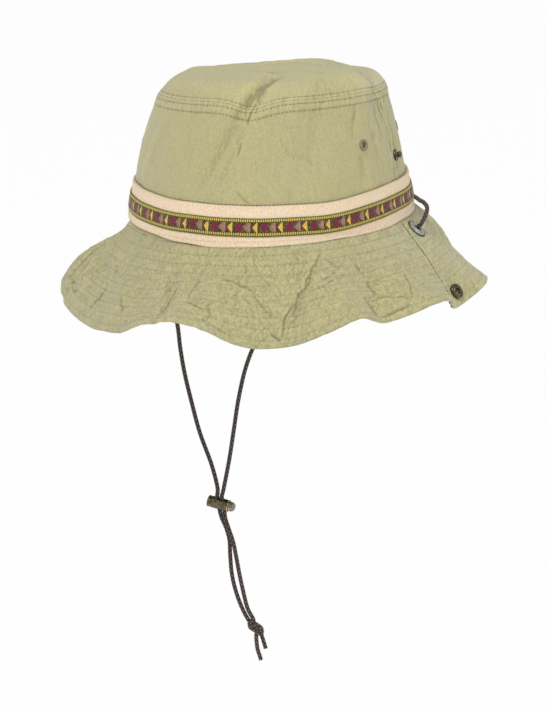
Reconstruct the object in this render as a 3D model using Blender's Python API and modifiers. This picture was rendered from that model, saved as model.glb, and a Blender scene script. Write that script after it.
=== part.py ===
"""Safari bucket hat in soft cotton, with a woven band, vent eyelets, side snaps and a chin cord with a lock.

Metres, +Z up, front at -Y. The origin is the centre of the head opening, level with the seam
that joins the crown to the brim.
"""

import math
from collections import namedtuple

import bmesh
import bpy
from mathutils import Matrix, Vector

OBJECT_NAME = "Safari bucket hat"

# Head opening, an oval longer from front to back
HEAD_HALF_WIDTH = 0.0845
HEAD_HALF_LENGTH = 0.0985

# How far round, in degrees, and how far along a surface its slope is measured over, and a fitting's over more
NORMAL_TURN = 1.0
NORMAL_STEP = 0.001
FITTING_TURN = 2.0
FITTING_STEP = 0.003

# Cloth and clearances
CROWN_CLOTH = 0.0015
BRIM_CLOTH = 0.0020
GAP = 0.0003
CLOTH_GAP = 0.0006
CROWN_COLUMNS = 52

# Crown, from the brim seam up its sides, over the shoulder seam and in to the middle of the tip
CrownSection = namedtuple("CrownSection", "along height half_width half_length shift_x")
CROWN_SECTIONS = (
    CrownSection(0.0000, 0.0000, 0.0845, 0.0985, 0.0000),
    CrownSection(0.0230, 0.0222, 0.0808, 0.0932, 0.0006),
    CrownSection(0.0440, 0.0425, 0.0772, 0.0872, 0.0012),
    CrownSection(0.0620, 0.0600, 0.0728, 0.0822, 0.0024),
    CrownSection(0.0775, 0.0750, 0.0678, 0.0774, 0.0042),
    CrownSection(0.0850, 0.0815, 0.0634, 0.0738, 0.0052),
    CrownSection(0.0930, 0.0856, 0.0570, 0.0676, 0.0052),
    CrownSection(0.1040, 0.0870, 0.0462, 0.0570, 0.0048),
    CrownSection(0.1190, 0.0864, 0.0313, 0.0412, 0.0042),
    CrownSection(0.1350, 0.0852, 0.0154, 0.0222, 0.0036),
    CrownSection(0.1500, 0.0846, 0.0003, 0.0004, 0.0036),
)
TILT_START_HEIGHT = 0.0600
TIP_TILT = 0.0038
SHOULDER_ALONG = 0.0775
SHOULDER_EDGE = 0.0020
SIDE_ROWS = (
    0.0,
    0.0120,
    0.0235,
    0.0340,
    0.0445,
    0.0550,
    0.0655,
    SHOULDER_ALONG - SHOULDER_EDGE,
    SHOULDER_ALONG,
)
TIP_ROWS = (
    SHOULDER_ALONG + GAP,
    SHOULDER_ALONG + GAP + SHOULDER_EDGE,
    0.0865,
    0.0940,
    0.1040,
    0.1190,
    0.1350,
)
TIP_CENTRE_ALONG = 0.1500
CROWN_SEAM_AZIMUTHS = {"left": -92.0, "right": 84.0}

# Folds: each runs from its low end to its high end, and lifts the cloth by its depth in the middle
Fold = namedtuple("Fold", "azimuth_low along_low azimuth_high along_high half_width depth")
CROWN_FOLDS = (
    Fold(-62.0, 0.022, -50.0, 0.105, 0.0110, 0.0014),
    Fold(-81.0, 0.022, -76.0, 0.100, 0.0080, -0.0010),
    Fold(-14.0, 0.024, 10.0, 0.093, 0.0060, -0.0022),
    Fold(2.0, 0.068, 24.0, 0.116, 0.0055, -0.0030),
    Fold(30.0, 0.024, 44.0, 0.095, 0.0090, -0.0012),
    Fold(64.0, 0.045, 70.0, 0.120, 0.0085, 0.0022),
    Fold(80.0, 0.055, 82.0, 0.110, 0.0070, -0.0018),
    Fold(100.0, 0.040, 108.0, 0.128, 0.0170, -0.0010),
    Fold(140.0, 0.024, 134.0, 0.122, 0.0170, -0.0032),
    Fold(178.0, 0.024, 170.0, 0.110, 0.0130, 0.0018),
    Fold(-132.0, 0.024, -142.0, 0.100, 0.0110, -0.0022),
    Fold(-105.0, 0.050, -102.0, 0.110, 0.0080, 0.0016),
)

# Brim: how steeply it leaves the joint, how far its edge hangs below level seen from the joint, and how far
# it stands off that line
BRIM_WIDTH = 0.0625
BRIM_WAVE_START = 0.7
BRIM_BELLY_SKEW = 1.8
BRIM_LEAN = 4.0
BRIM_SEAM_AZIMUTHS = {"left": -88.0, "right": 80.0}
BRIM_FRONT_COLUMNS = 44
BRIM_BACK_COLUMNS = 36
BRIM_ROWS = 7
BrimWave = namedtuple("BrimWave", "azimuth root slope belly")
BRIM_WAVES = (
    BrimWave(-165.0, 47.0, 46.0, 0.0010),
    BrimWave(-148.0, 47.0, 53.0, 0.0020),
    BrimWave(-128.0, 48.0, 44.0, 0.0020),
    BrimWave(-112.0, 54.0, 40.5, 0.0056),
    BrimWave(-98.0, 59.0, 38.0, 0.0062),
    BrimWave(-86.0, 61.0, 38.5, 0.0066),
    BrimWave(-76.0, 58.0, 42.0, 0.0044),
    BrimWave(-66.0, 52.0, 45.5, 0.0030),
    BrimWave(-54.0, 48.0, 51.0, 0.0020),
    BrimWave(-42.0, 47.0, 53.0, 0.0010),
    BrimWave(-33.0, 47.0, 49.5, 0.0010),
    BrimWave(-25.0, 47.0, 46.0, 0.0000),
    BrimWave(-18.0, 47.0, 38.0, -0.0010),
    BrimWave(-11.0, 47.0, 31.0, -0.0020),
    BrimWave(-4.0, 47.0, 30.0, -0.0020),
    BrimWave(2.0, 47.0, 36.0, -0.0010),
    BrimWave(8.0, 47.0, 49.5, 0.0010),
    BrimWave(14.0, 47.0, 56.0, 0.0020),
    BrimWave(22.0, 47.0, 53.5, 0.0010),
    BrimWave(30.0, 47.0, 42.0, 0.0000),
    BrimWave(37.0, 47.0, 33.5, -0.0010),
    BrimWave(45.0, 47.0, 40.5, 0.0000),
    BrimWave(52.0, 47.0, 38.0, 0.0000),
    BrimWave(59.0, 47.0, 34.0, -0.0010),
    BrimWave(65.0, 47.0, 35.5, -0.0010),
    BrimWave(71.0, 47.0, 43.5, 0.0000),
    BrimWave(77.0, 46.0, 51.5, 0.0010),
    BrimWave(84.0, 44.0, 47.5, 0.0010),
    BrimWave(91.0, 44.0, 42.5, -0.0003),
    BrimWave(100.0, 46.0, 43.5, -0.0009),
    BrimWave(110.0, 46.0, 47.5, -0.0012),
    BrimWave(122.0, 26.0, 57.0, -0.0026),
    BrimWave(134.0, 36.0, 55.0, -0.0012),
    BrimWave(148.0, 46.0, 52.0, 0.0010),
    BrimWave(162.0, 47.0, 49.0, 0.0020),
    BrimWave(179.0, 47.0, 41.0, 0.0000),
)
BRIM_FOLDS = (
    Fold(-66.0, 0.002, -57.0, 0.062, 0.0070, 0.0042),
    Fold(-80.0, 0.008, -71.0, 0.068, 0.0075, -0.0060),
    Fold(30.0, 0.006, 22.0, 0.066, 0.0042, -0.0014),
    Fold(-16.0, 0.010, -10.0, 0.070, 0.0050, -0.0024),
    Fold(52.0, 0.020, 44.0, 0.066, 0.0060, -0.0022),
    Fold(118.0, 0.008, 124.0, 0.064, 0.0070, 0.0024),
    Fold(-120.0, 0.008, -126.0, 0.064, 0.0070, -0.0024),
    Fold(170.0, 0.010, 176.0, 0.070, 0.0070, -0.0026),
)

# Band: cream webbing with a narrow ribbon along its middle, which both sway a little up and down
WEBBING_BOTTOM = 0.0004
WEBBING_TOP = 0.0229
WEBBING_THICKNESS = 0.0012
RIBBON_BOTTOM = 0.0052
RIBBON_TOP = 0.0158
RIBBON_THICKNESS = 0.0008
BandSway = namedtuple("BandSway", "azimuth rise")
BAND_SWAYS = (
    BandSway(-150.0, 0.0000),
    BandSway(-115.0, 0.0014),
    BandSway(-85.0, 0.0034),
    BandSway(-60.0, 0.0036),
    BandSway(-40.0, 0.0024),
    BandSway(-20.0, 0.0008),
    BandSway(-5.0, 0.0000),
    BandSway(12.0, -0.0010),
    BandSway(30.0, -0.0018),
    BandSway(44.0, -0.0026),
    BandSway(60.0, -0.0008),
    BandSway(75.0, 0.0000),
    BandSway(150.0, 0.0000),
)

# Vent eyelets, two on each side of the crown
EYELET_AZIMUTHS = {"front_left": -74.0, "front_right": 62.5, "back_left": -122.0, "back_right": 114.0}
EYELET_ALONG = 0.0495
EYELET_HOLE_RADIUS = 0.0014
EYELET_RADIUS = 0.0034
EYELET_PROUD = 0.0004
EYELET_SIDES = 12

# Press studs on the crown, and their sockets and the cord's grommets on the brim
STUD_AZIMUTHS = {"left": -96.0, "right": 87.0}
STUD_ALONG = 0.0375
STUD_SHAFT_RADIUS = 0.0012
STUD_NECK_RADIUS = 0.0015
STUD_FLANGE_RADIUS = 0.0034
STUD_FLANGE_EDGE = 0.0005
STUD_FLANGE_RISE = 0.0008
RingPoint = namedtuple("RingPoint", "radius height")
STUD_HEAD = (
    RingPoint(0.0, 0.0042),
    RingPoint(0.0012, 0.0040),
    RingPoint(0.0020, 0.0032),
    RingPoint(0.0020, 0.0026),
    RingPoint(STUD_NECK_RADIUS, 0.0021),
)
CAP_RADIUS = 0.0042
CAP_THICKNESS = 0.0008
CAP_EDGE = 0.0004
SOCKET_AZIMUTHS = {"left": -104.0, "right": 83.2}
SOCKET_ALONG = 0.0546
SOCKET_GAP = 0.0009
SOCKET_RADIUS = 0.0047
SOCKET_HOLE_RADIUS = 0.0019
SOCKET_HEIGHT = 0.0024
SOCKET_FLOOR = 0.0005
SOCKET_EDGE = 0.0005
GROMMET_AZIMUTHS = {"left": -100.0, "right": 86.5}
GROMMET_ALONGS = {"left": 0.0125, "right": 0.0105}
GROMMET_RADIUS = 0.0062
GROMMET_UNDER_RADIUS = 0.0056
GROMMET_HOLE_RADIUS = 0.0024
GROMMET_BARREL_RADIUS = 0.0030
GROMMET_EDGE = 0.0004
GROMMET_LIP = 0.0008
GROMMET_RISE = 0.0010
FITTING_SIDES = 16
CUTTER_SIDES = 20
CUTTER_DEPTH = 0.012
MERGE_DISTANCE = 0.00001

# Chin cord: one braided cord, up through one grommet, round the back of the crown and down through the other
CORD_RADIUS = 0.00125
CORD_LONGEST_STEP = 0.0170
CORD_SHORTEST_STEP = 0.0030
CORD_MOST_BEND = 20.0
CORD_LEAD = 0.0044
CORD_FINENESS = 24
BackPoint = namedtuple("BackPoint", "azimuth out height")
CORD_BACK = (
    BackPoint(88.2, 0.0112, -0.0022),
    BackPoint(90.2, 0.0120, 0.0012),
    BackPoint(92.8, 0.0112, 0.0034),
    BackPoint(95.8, 0.0088, 0.0046),
    BackPoint(99.5, 0.0066, 0.0044),
    BackPoint(105.0, 0.0050, 0.0030),
    BackPoint(112.0, 0.0044, 0.0018),
    BackPoint(124.0, 0.0042, 0.0006),
    BackPoint(140.0, 0.0042, -0.0008),
    BackPoint(160.0, 0.0042, -0.0018),
    BackPoint(180.0, 0.0042, -0.0018),
    BackPoint(200.0, 0.0042, -0.0018),
    BackPoint(218.0, 0.0042, -0.0018),
    BackPoint(232.0, 0.0046, -0.0016),
    BackPoint(240.0, 0.0054, -0.0010),
    BackPoint(246.5, 0.0072, 0.0000),
    BackPoint(251.5, 0.0096, 0.0002),
    BackPoint(255.5, 0.0118, -0.0012),
    BackPoint(258.5, 0.0122, -0.0036),
)
CORD_PLANE_Y = -0.0080
CORD_LEFT = (
    (-0.0800, -0.0265),
    (-0.0705, -0.0395),
    (-0.0640, -0.0560),
    (-0.0615, -0.0720),
    (-0.0605, -0.0860),
    (-0.0585, -0.1020),
    (-0.0550, -0.1200),
    (-0.0505, -0.1400),
    (-0.0440, -0.1600),
    (-0.0407, -0.1750),
)
CORD_RIGHT = (
    (0.0850, -0.0125),
    (0.0730, -0.0180),
    (0.0530, -0.0270),
    (0.0335, -0.0385),
    (0.0150, -0.0520),
    (-0.0010, -0.0665),
    (-0.0110, -0.0800),
    (-0.0185, -0.0970),
    (-0.0240, -0.1170),
    (-0.0280, -0.1370),
    (-0.0320, -0.1570),
    (-0.0368, -0.1770),
)

# Cord lock: a barrel with a sprung button in it, and both strands crosswise through them
LOCK_CENTRE = Vector((-0.0389, CORD_PLANE_Y, -0.1863))
LOCK_TILT = 12.9
LOCK_BARREL_RADIUS = 0.0037
LOCK_BORE_RADIUS = 0.0034
LOCK_BARREL_LEFT = -0.0084
LOCK_BARREL_RIGHT = 0.0055
LOCK_END_WALL = 0.0010
LOCK_END_HOLE_RADIUS = 0.0017
LOCK_RIM = 0.0001
LOCK_BUTTON_RADIUS = 0.0031
LOCK_BUTTON_LEFT = -0.0051
LOCK_BUTTON_DOME = (
    RingPoint(0.0, 0.0096),
    RingPoint(0.0018, 0.0092),
    RingPoint(0.0028, 0.0082),
    RingPoint(LOCK_BUTTON_RADIUS, 0.0071),
)
LOCK_TRAVEL = 0.0022
LOCK_SLOT_HALF_LENGTHS = {"cord_lock_barrel": 0.0049, "cord_lock_button": 0.0043}
LOCK_SLOT_HALF_WIDTH = 0.00158
LOCK_SLOT_DEPTH = 0.014
LOCK_SIDES = 20
STRAND_OFFSET = 0.00150
STRAND_LEAN = 0.12
STRAND_RISES = (0.0052, 0.0, -0.0052)

# Below the lock, as x, y and z, to the knot and out of it
TAIL_LEFT = (
    (-0.0388, -0.0076, -0.1960),
    (-0.0364, -0.0068, -0.2030),
    (-0.0348, -0.0066, -0.2110),
    (-0.0346, -0.0072, -0.2200),
    (-0.0338, -0.0080, -0.2330),
    (-0.0315, -0.0080, -0.2450),
    (-0.0278, -0.0080, -0.2560),
    (-0.0238, -0.0080, -0.2638),
)
TAIL_RIGHT = (
    (-0.0361, -0.0086, -0.1960),
    (-0.0338, -0.0093, -0.2030),
    (-0.0315, -0.0093, -0.2110),
    (-0.0303, -0.0086, -0.2200),
    (-0.0290, -0.0080, -0.2310),
    (-0.0270, -0.0080, -0.2430),
    (-0.0245, -0.0080, -0.2550),
    (-0.0208, -0.0080, -0.2630),
)
KNOT_CENTRE = Vector((-0.0195, CORD_PLANE_Y, -0.2682))
KNOT_HALF_LENGTH = 0.0054
KNOT_HALF_WIDTH = 0.0042
KNOT_HALF_HEIGHT = 0.0038
KNOT_TILT = 22.0
KNOT_SIDES = 12
KNOT_RINGS = 8
END_LEFT = (
    (-0.0190, -0.0094, -0.2733),
    (-0.0188, -0.0097, -0.2780),
    (-0.0182, -0.0097, -0.2830),
    (-0.0166, -0.0092, -0.2892),
)
END_RIGHT = (
    (-0.0168, -0.0064, -0.2727),
    (-0.0160, -0.0060, -0.2755),
    (-0.0152, -0.0060, -0.2785),
    (-0.0140, -0.0062, -0.2825),
)


def clear_scene():
    for thing in list(bpy.data.objects):
        bpy.data.objects.remove(thing)


def make_collection(name):
    collection = bpy.data.collections.new(name)
    bpy.context.scene.collection.children.link(collection)
    return collection


def make_material(name, colour, roughness, metallic=0.0):
    material = bpy.data.materials.new(name)
    material.use_nodes = True
    shader = material.node_tree.nodes["Principled BSDF"]
    shader.inputs["Base Color"].default_value = (*colour, 1.0)
    shader.inputs["Roughness"].default_value = roughness
    shader.inputs["Metallic"].default_value = metallic
    return material


def table_value(rows, key, column, at):
    """A column's value at a place between a table's rows, on a smooth curve through them."""
    last = len(rows) - 1
    low = max(0, sum(1 for row in rows[1:last] if getattr(row, key) <= at))
    high = low + 1

    def rise(index):
        before, after = rows[max(index - 1, 0)], rows[min(index + 1, last)]
        run = getattr(after, key) - getattr(before, key)
        return (getattr(after, column) - getattr(before, column)) / run

    start, end = getattr(rows[low], key), getattr(rows[high], key)
    span = end - start
    t = min(max((at - start) / span, 0.0), 1.0)
    from_start = (1 + 2 * t) * (1 - t) ** 2 * getattr(rows[low], column)
    from_end = t * t * (3 - 2 * t) * getattr(rows[high], column)
    turns = t * (1 - t) ** 2 * rise(low) - t * t * (1 - t) * rise(high)
    return from_start + from_end + span * turns


def all_round(rows):
    """The rows of a table by azimuth, with its ends repeated a turn away."""
    before = [row._replace(azimuth=row.azimuth - 360.0) for row in rows[-2:]]
    after = [row._replace(azimuth=row.azimuth + 360.0) for row in rows[:2]]
    return [*before, *rows, *after]


def turn_within(azimuth):
    return (azimuth + 180.0) % 360.0 - 180.0


def fold_lift(folds, azimuth, along, radius):
    """How far the folds lift the cloth at a place, radius being its distance from the hat's axis."""
    lift = 0.0
    for fold in folds:
        part = (along - fold.along_low) / (fold.along_high - fold.along_low)
        if 0.0 < part < 1.0:
            middle = fold.azimuth_low + part * (fold.azimuth_high - fold.azimuth_low)
            across = math.radians(turn_within(azimuth - middle)) * radius / fold.half_width
            lift += fold.depth * math.sin(math.pi * part) * math.exp(-across * across)
    return lift


def oval_point(half_width, half_length, azimuth):
    angle = math.radians(azimuth)
    return Vector((half_width * math.sin(angle), -half_length * math.cos(angle), 0.0))


def head_point(azimuth, out=0.0, height=0.0):
    """A point this far outside the head opening's oval, square to it."""
    angle = math.radians(azimuth)
    outward = Vector((HEAD_HALF_LENGTH * math.sin(angle), -HEAD_HALF_WIDTH * math.cos(angle), 0.0))
    level = oval_point(HEAD_HALF_WIDTH, HEAD_HALF_LENGTH, azimuth) + outward.normalized() * out
    return level + Vector((0.0, 0.0, height))


def smooth_crown(azimuth, along):
    """The crown's outer surface without its folds."""

    def size(column):
        return table_value(CROWN_SECTIONS, "along", column, along)

    point = oval_point(size("half_width"), size("half_length"), azimuth)
    above = max(size("height") - TILT_START_HEIGHT, 0.0) / (CROWN_SECTIONS[-1].height - TILT_START_HEIGHT)
    tilt = TIP_TILT * above * point.y / HEAD_HALF_LENGTH
    return point + Vector((size("shift_x"), 0.0, size("height") - tilt))


def smooth_brim(azimuth, along):
    """The brim's upper surface without its folds, from the joint outwards."""
    part = max(along, 0.0) / BRIM_WIDTH
    azimuth = turn_within(azimuth - BRIM_LEAN * part * math.sin(math.radians(azimuth)))
    waves = all_round(BRIM_WAVES)
    root = table_value(waves, "azimuth", "root", azimuth)
    slope = table_value(waves, "azimuth", "slope", azimuth)
    belly = table_value(waves, "azimuth", "belly", azimuth) * math.sin(math.pi * part**BRIM_BELLY_SKEW)
    angle = math.radians(root + (slope - root) * part**BRIM_WAVE_START)
    out = along * math.cos(angle) + belly * math.sin(angle)
    drop = along * math.sin(angle) - belly * math.cos(angle)
    return head_point(azimuth, out, -GAP - drop)


def outward_normal(surface, azimuth, along):
    """The direction out of a surface: away from the head on the crown, and up and out on the brim."""
    across = surface(azimuth + NORMAL_TURN, along) - surface(azimuth - NORMAL_TURN, along)
    onward = surface(azimuth, along + NORMAL_STEP) - surface(azimuth, max(along - NORMAL_STEP, 0.0))
    normal = across.cross(onward).normalized()
    return normal if surface is smooth_crown else -normal


def crown_point(azimuth, along, off=0.0):
    smooth = smooth_crown(azimuth, along)
    lift = fold_lift(CROWN_FOLDS, azimuth, along, smooth.xy.length)
    return smooth + outward_normal(smooth_crown, azimuth, along) * (lift + off)


def brim_point(azimuth, along, off=0.0):
    smooth = smooth_brim(azimuth, along)
    lift = fold_lift(BRIM_FOLDS, azimuth, along, smooth.xy.length)
    return smooth + outward_normal(smooth_brim, azimuth, along) * (lift + off)


def true_normal(point_at, azimuth, along):
    """The direction out of the folded surface that point_at gives."""
    across = point_at(azimuth + FITTING_TURN, along) - point_at(azimuth - FITTING_TURN, along)
    onward = point_at(azimuth, along + FITTING_STEP) - point_at(azimuth, along - FITTING_STEP)
    normal = across.cross(onward).normalized()
    return normal if point_at is crown_point else -normal


def add_object(name, data, material, collection):
    thing = bpy.data.objects.new(name, data)
    if material:
        thing.data.materials.append(material)
    collection.objects.link(thing)
    return thing


def shade_round(mesh, crease_degrees=40.0):
    mesh.shade_smooth()
    mesh.set_sharp_from_angle(angle=math.radians(crease_degrees))


def cloth_sheet(name, rows, thickness, outward, material, collection, centre=None):
    """Cloth of even thickness on a grid of points, with ends that meet on a ring, which a centre closes."""
    ring = rows[0][0] == rows[0][-1]
    sheet = bmesh.new()
    grid = [[sheet.verts.new(point) for point in (row[:-1] if ring else row)] for row in rows]
    count = len(grid[0])
    for lower, upper in zip(grid, grid[1:]):
        for i in range(count if ring else count - 1):
            j = (i + 1) % count
            sheet.faces.new((lower[i], lower[j], upper[j], upper[i]))
    if centre:
        middle = sheet.verts.new(centre)
        for i in range(count):
            sheet.faces.new((grid[-1][i], grid[-1][(i + 1) % count], middle))
    mesh = bpy.data.meshes.new(name)
    sheet.to_mesh(mesh)
    sheet.free()
    shade_round(mesh)
    cloth = add_object(name, mesh, material, collection)
    solidify = cloth.modifiers.new("Cloth", "SOLIDIFY")
    solidify.thickness = thickness
    solidify.offset = 1.0 if outward else -1.0
    solidify.use_even_offset = False
    return cloth


def steps(first, last, count):
    return [first + (last - first) * i / count for i in range(count + 1)]


def turned_piece(name, profile, sides, material, collection):
    """A round piece from its outline, as radius and height, down its outer side and, on a ring, up inside."""
    ring = min(radius for radius, _ in profile) > 0.0
    outline = bmesh.new()
    points = [outline.verts.new((radius, 0.0, height)) for radius, height in profile]
    for first, second in zip(points, points[1:]):
        outline.edges.new((first, second))
    if ring:
        outline.edges.new((points[-1], points[0]))
    mesh = bpy.data.meshes.new(name)
    outline.to_mesh(mesh)
    outline.free()
    piece = add_object(name, mesh, material, collection)
    screw = piece.modifiers.new("Turn", "SCREW")
    screw.steps = sides
    screw.render_steps = sides
    screw.use_merge_vertices = True
    screw.merge_threshold = MERGE_DISTANCE
    return piece


def seat(piece, point, normal):
    """Stands a turned piece on a surface, its axis along the surface's normal."""
    turn = normal.to_track_quat("Z", "Y").to_matrix().to_4x4()
    piece.matrix_world = Matrix.Translation(point) @ turn
    return piece


def add_cutter(name, radius, depth, cutters, half_slot=0.0):
    """A round cutter along its own Z, or a long slot with round ends where half_slot is given."""
    shape = bmesh.new()
    size = {"radius1": radius, "radius2": radius, "depth": depth}
    bmesh.ops.create_cone(shape, cap_ends=True, segments=CUTTER_SIDES, **size)
    for vert in shape.verts:
        if half_slot:
            vert.co.x += math.copysign(half_slot - radius, vert.co.x)
    mesh = bpy.data.meshes.new(name)
    shape.to_mesh(mesh)
    shape.free()
    cutter = add_object(name, mesh, None, cutters)
    cutter.display_type = "WIRE"
    cutter.hide_render = True
    return cutter


def cut(piece, cutter):
    boolean = piece.modifiers.new(cutter.name, "BOOLEAN")
    boolean.operation = "DIFFERENCE"
    boolean.solver = "EXACT"
    boolean.object = cutter


def both_halves(seams):
    """The azimuths between which the front and the back half run, with a gap at each seam."""
    half_gap = math.degrees(0.5 * GAP / HEAD_HALF_WIDTH)
    front = seams["left"] + half_gap, seams["right"] - half_gap
    return front, (seams["right"] + half_gap, seams["left"] + 360.0 - half_gap)


def make_crown(materials, hat):
    """The tip and the two side panels, with a gap at each seam."""
    panels = []
    names = ("crown_side_front", "crown_side_back")
    for name, (first, last) in zip(names, both_halves(CROWN_SEAM_AZIMUTHS)):
        azimuths = steps(first, last, CROWN_COLUMNS // 2)
        rows = [[crown_point(azimuth, along) for azimuth in azimuths] for along in SIDE_ROWS]
        panels.append(cloth_sheet(name, rows, CROWN_CLOTH, False, materials["cotton"], hat))
    rows = [[crown_point(a, along) for a in steps(0.0, 360.0, CROWN_COLUMNS)] for along in TIP_ROWS]
    for row in rows:
        row[-1] = row[0].copy()
    centre = smooth_crown(0.0, TIP_CENTRE_ALONG)
    centre.y = 0.0
    cloth_sheet("crown_tip", rows, CROWN_CLOTH, False, materials["cotton"], hat, centre)
    return panels


def band_along(azimuth, along):
    """Where the band's line stands that would run level this far up the crown. Its lower edge never sinks."""
    rise = table_value(all_round(BAND_SWAYS), "azimuth", "rise", turn_within(azimuth))
    above_edge = min(max((along - WEBBING_BOTTOM) / (RIBBON_BOTTOM - WEBBING_BOTTOM), 0.0), 1.0)
    return along + (rise if rise > 0.0 else rise * above_edge)


def make_band(materials, hat):
    """The webbing round the crown's foot and the ribbon on it, each standing off what it covers by a gap."""
    ribbon_off = CLOTH_GAP + WEBBING_THICKNESS + GAP
    for name, bottom, top, off, thickness, material in (
        ("band_webbing", WEBBING_BOTTOM, WEBBING_TOP, CLOTH_GAP, WEBBING_THICKNESS, "webbing"),
        ("band_ribbon", RIBBON_BOTTOM, RIBBON_TOP, ribbon_off, RIBBON_THICKNESS, "ribbon"),
    ):
        rows = []
        for along in (bottom, top):
            row = [crown_point(a, band_along(a, along), off) for a in steps(0.0, 360.0, CROWN_COLUMNS)]
            row[-1] = row[0].copy()
            rows.append(row)
        cloth_sheet(name, rows, thickness, True, materials[material], hat)


def make_brim(materials, hat):
    """The front and back halves, from the edge in to the joint so that their faces look up and out."""
    halves = []
    columns = {"brim_front": BRIM_FRONT_COLUMNS, "brim_back": BRIM_BACK_COLUMNS}
    alongs = steps(BRIM_WIDTH, 0.0, BRIM_ROWS)
    for (name, count), (first, last) in zip(columns.items(), both_halves(BRIM_SEAM_AZIMUTHS)):
        azimuths = steps(first, last, count)
        rows = [[brim_point(azimuth, along) for azimuth in azimuths] for along in alongs]
        halves.append(cloth_sheet(name, rows, BRIM_CLOTH, False, materials["cotton"], hat))
    return halves


def make_vent_eyelets(panels, materials, hat, cutters):
    """Stitched rings through the crown's cloth, standing a little proud of it on both sides."""
    low = -CROWN_CLOTH - EYELET_PROUD
    middle = 0.5 * (EYELET_RADIUS + EYELET_HOLE_RADIUS)
    profile = (
        (middle, EYELET_PROUD),
        (EYELET_RADIUS, 0.0),
        (EYELET_RADIUS, -CROWN_CLOTH),
        (middle, low),
        (EYELET_HOLE_RADIUS, -CROWN_CLOTH),
        (EYELET_HOLE_RADIUS, 0.0),
    )
    for side, azimuth in EYELET_AZIMUTHS.items():
        point = crown_point(azimuth, EYELET_ALONG)
        normal = true_normal(crown_point, azimuth, EYELET_ALONG)
        eyelet = turned_piece(f"vent_eyelet_{side}", profile, EYELET_SIDES, materials["eyelet_thread"], hat)
        seat(eyelet, point, normal)
        cutter = add_cutter(f"cut_vent_{side}", EYELET_RADIUS + GAP, CUTTER_DEPTH, cutters)
        seat(cutter, point, normal)
        cut(panels[0] if side.startswith("front") else panels[1], cutter)


def make_snap_studs(panels, materials, hat, cutters):
    """A post with a ball head outside the crown, and its flat cap inside."""
    cap_top = -CROWN_CLOTH - CLOTH_GAP
    profile = (
        *STUD_HEAD,
        (STUD_NECK_RADIUS, CLOTH_GAP + STUD_FLANGE_RISE),
        (STUD_FLANGE_RADIUS, CLOTH_GAP + STUD_FLANGE_EDGE),
        (STUD_FLANGE_RADIUS, CLOTH_GAP),
        (STUD_SHAFT_RADIUS, CLOTH_GAP),
        (STUD_SHAFT_RADIUS, cap_top),
        (CAP_RADIUS, cap_top),
        (CAP_RADIUS - CAP_EDGE, cap_top - CAP_THICKNESS),
        (0.0, cap_top - CAP_THICKNESS),
    )
    for side, azimuth in STUD_AZIMUTHS.items():
        point = crown_point(azimuth, STUD_ALONG)
        normal = true_normal(crown_point, azimuth, STUD_ALONG)
        stud = turned_piece(f"snap_stud_{side}", profile, FITTING_SIDES, materials["antique_brass"], hat)
        seat(stud, point, normal)
        cutter = add_cutter(f"cut_stud_{side}", STUD_SHAFT_RADIUS + GAP, CUTTER_DEPTH, cutters)
        seat(cutter, point, normal)
        cut(panels[1], cutter)


def make_snap_sockets(halves, materials, hat, cutters):
    """A ring with a hole that takes the stud, on the brim's upper face, and its cap underneath."""
    cap_top = -BRIM_CLOTH - SOCKET_GAP
    floor = SOCKET_GAP + SOCKET_FLOOR
    profile = (
        (0.0, floor),
        (SOCKET_HOLE_RADIUS, floor),
        (SOCKET_HOLE_RADIUS, SOCKET_HEIGHT - SOCKET_EDGE),
        (0.5 * (SOCKET_HOLE_RADIUS + SOCKET_RADIUS), SOCKET_HEIGHT),
        (SOCKET_RADIUS, SOCKET_HEIGHT - SOCKET_EDGE),
        (SOCKET_RADIUS, SOCKET_GAP),
        (STUD_SHAFT_RADIUS, SOCKET_GAP),
        (STUD_SHAFT_RADIUS, cap_top),
        (SOCKET_RADIUS, cap_top),
        (SOCKET_RADIUS - CAP_EDGE, cap_top - CAP_THICKNESS),
        (0.0, cap_top - CAP_THICKNESS),
    )
    for side, azimuth in SOCKET_AZIMUTHS.items():
        point = brim_point(azimuth, SOCKET_ALONG)
        normal = true_normal(brim_point, azimuth, SOCKET_ALONG)
        socket = turned_piece(f"snap_socket_{side}", profile, FITTING_SIDES, materials["antique_brass"], hat)
        seat(socket, point, normal)
        cutter = add_cutter(f"cut_socket_{side}", STUD_SHAFT_RADIUS + GAP, CUTTER_DEPTH, cutters)
        seat(cutter, point, normal)
        cut(halves[1], cutter)


def grommet_place(side):
    azimuth, along = GROMMET_AZIMUTHS[side], GROMMET_ALONGS[side]
    return brim_point(azimuth, along), true_normal(brim_point, azimuth, along)


def make_grommets(halves, materials, hat, cutters):
    """A barrel through the brim with a flange on each face, open for the cord."""
    under = -BRIM_CLOTH - CLOTH_GAP
    profile = (
        (GROMMET_HOLE_RADIUS, CLOTH_GAP + GROMMET_LIP),
        (0.5 * (GROMMET_HOLE_RADIUS + GROMMET_RADIUS), CLOTH_GAP + GROMMET_RISE),
        (GROMMET_RADIUS, CLOTH_GAP + GROMMET_EDGE),
        (GROMMET_RADIUS, CLOTH_GAP),
        (GROMMET_BARREL_RADIUS, CLOTH_GAP),
        (GROMMET_BARREL_RADIUS, under),
        (GROMMET_UNDER_RADIUS, under),
        (GROMMET_UNDER_RADIUS, under - GROMMET_EDGE),
        (GROMMET_HOLE_RADIUS, under - GROMMET_LIP),
    )
    for side in GROMMET_AZIMUTHS:
        point, normal = grommet_place(side)
        grommet = turned_piece(f"brim_grommet_{side}", profile, FITTING_SIDES, materials["pale_steel"], hat)
        seat(grommet, point, normal)
        cutter = add_cutter(f"cut_grommet_{side}", GROMMET_BARREL_RADIUS + GAP, CUTTER_DEPTH, cutters)
        seat(cutter, point, normal)
        cut(halves[1], cutter)


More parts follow.
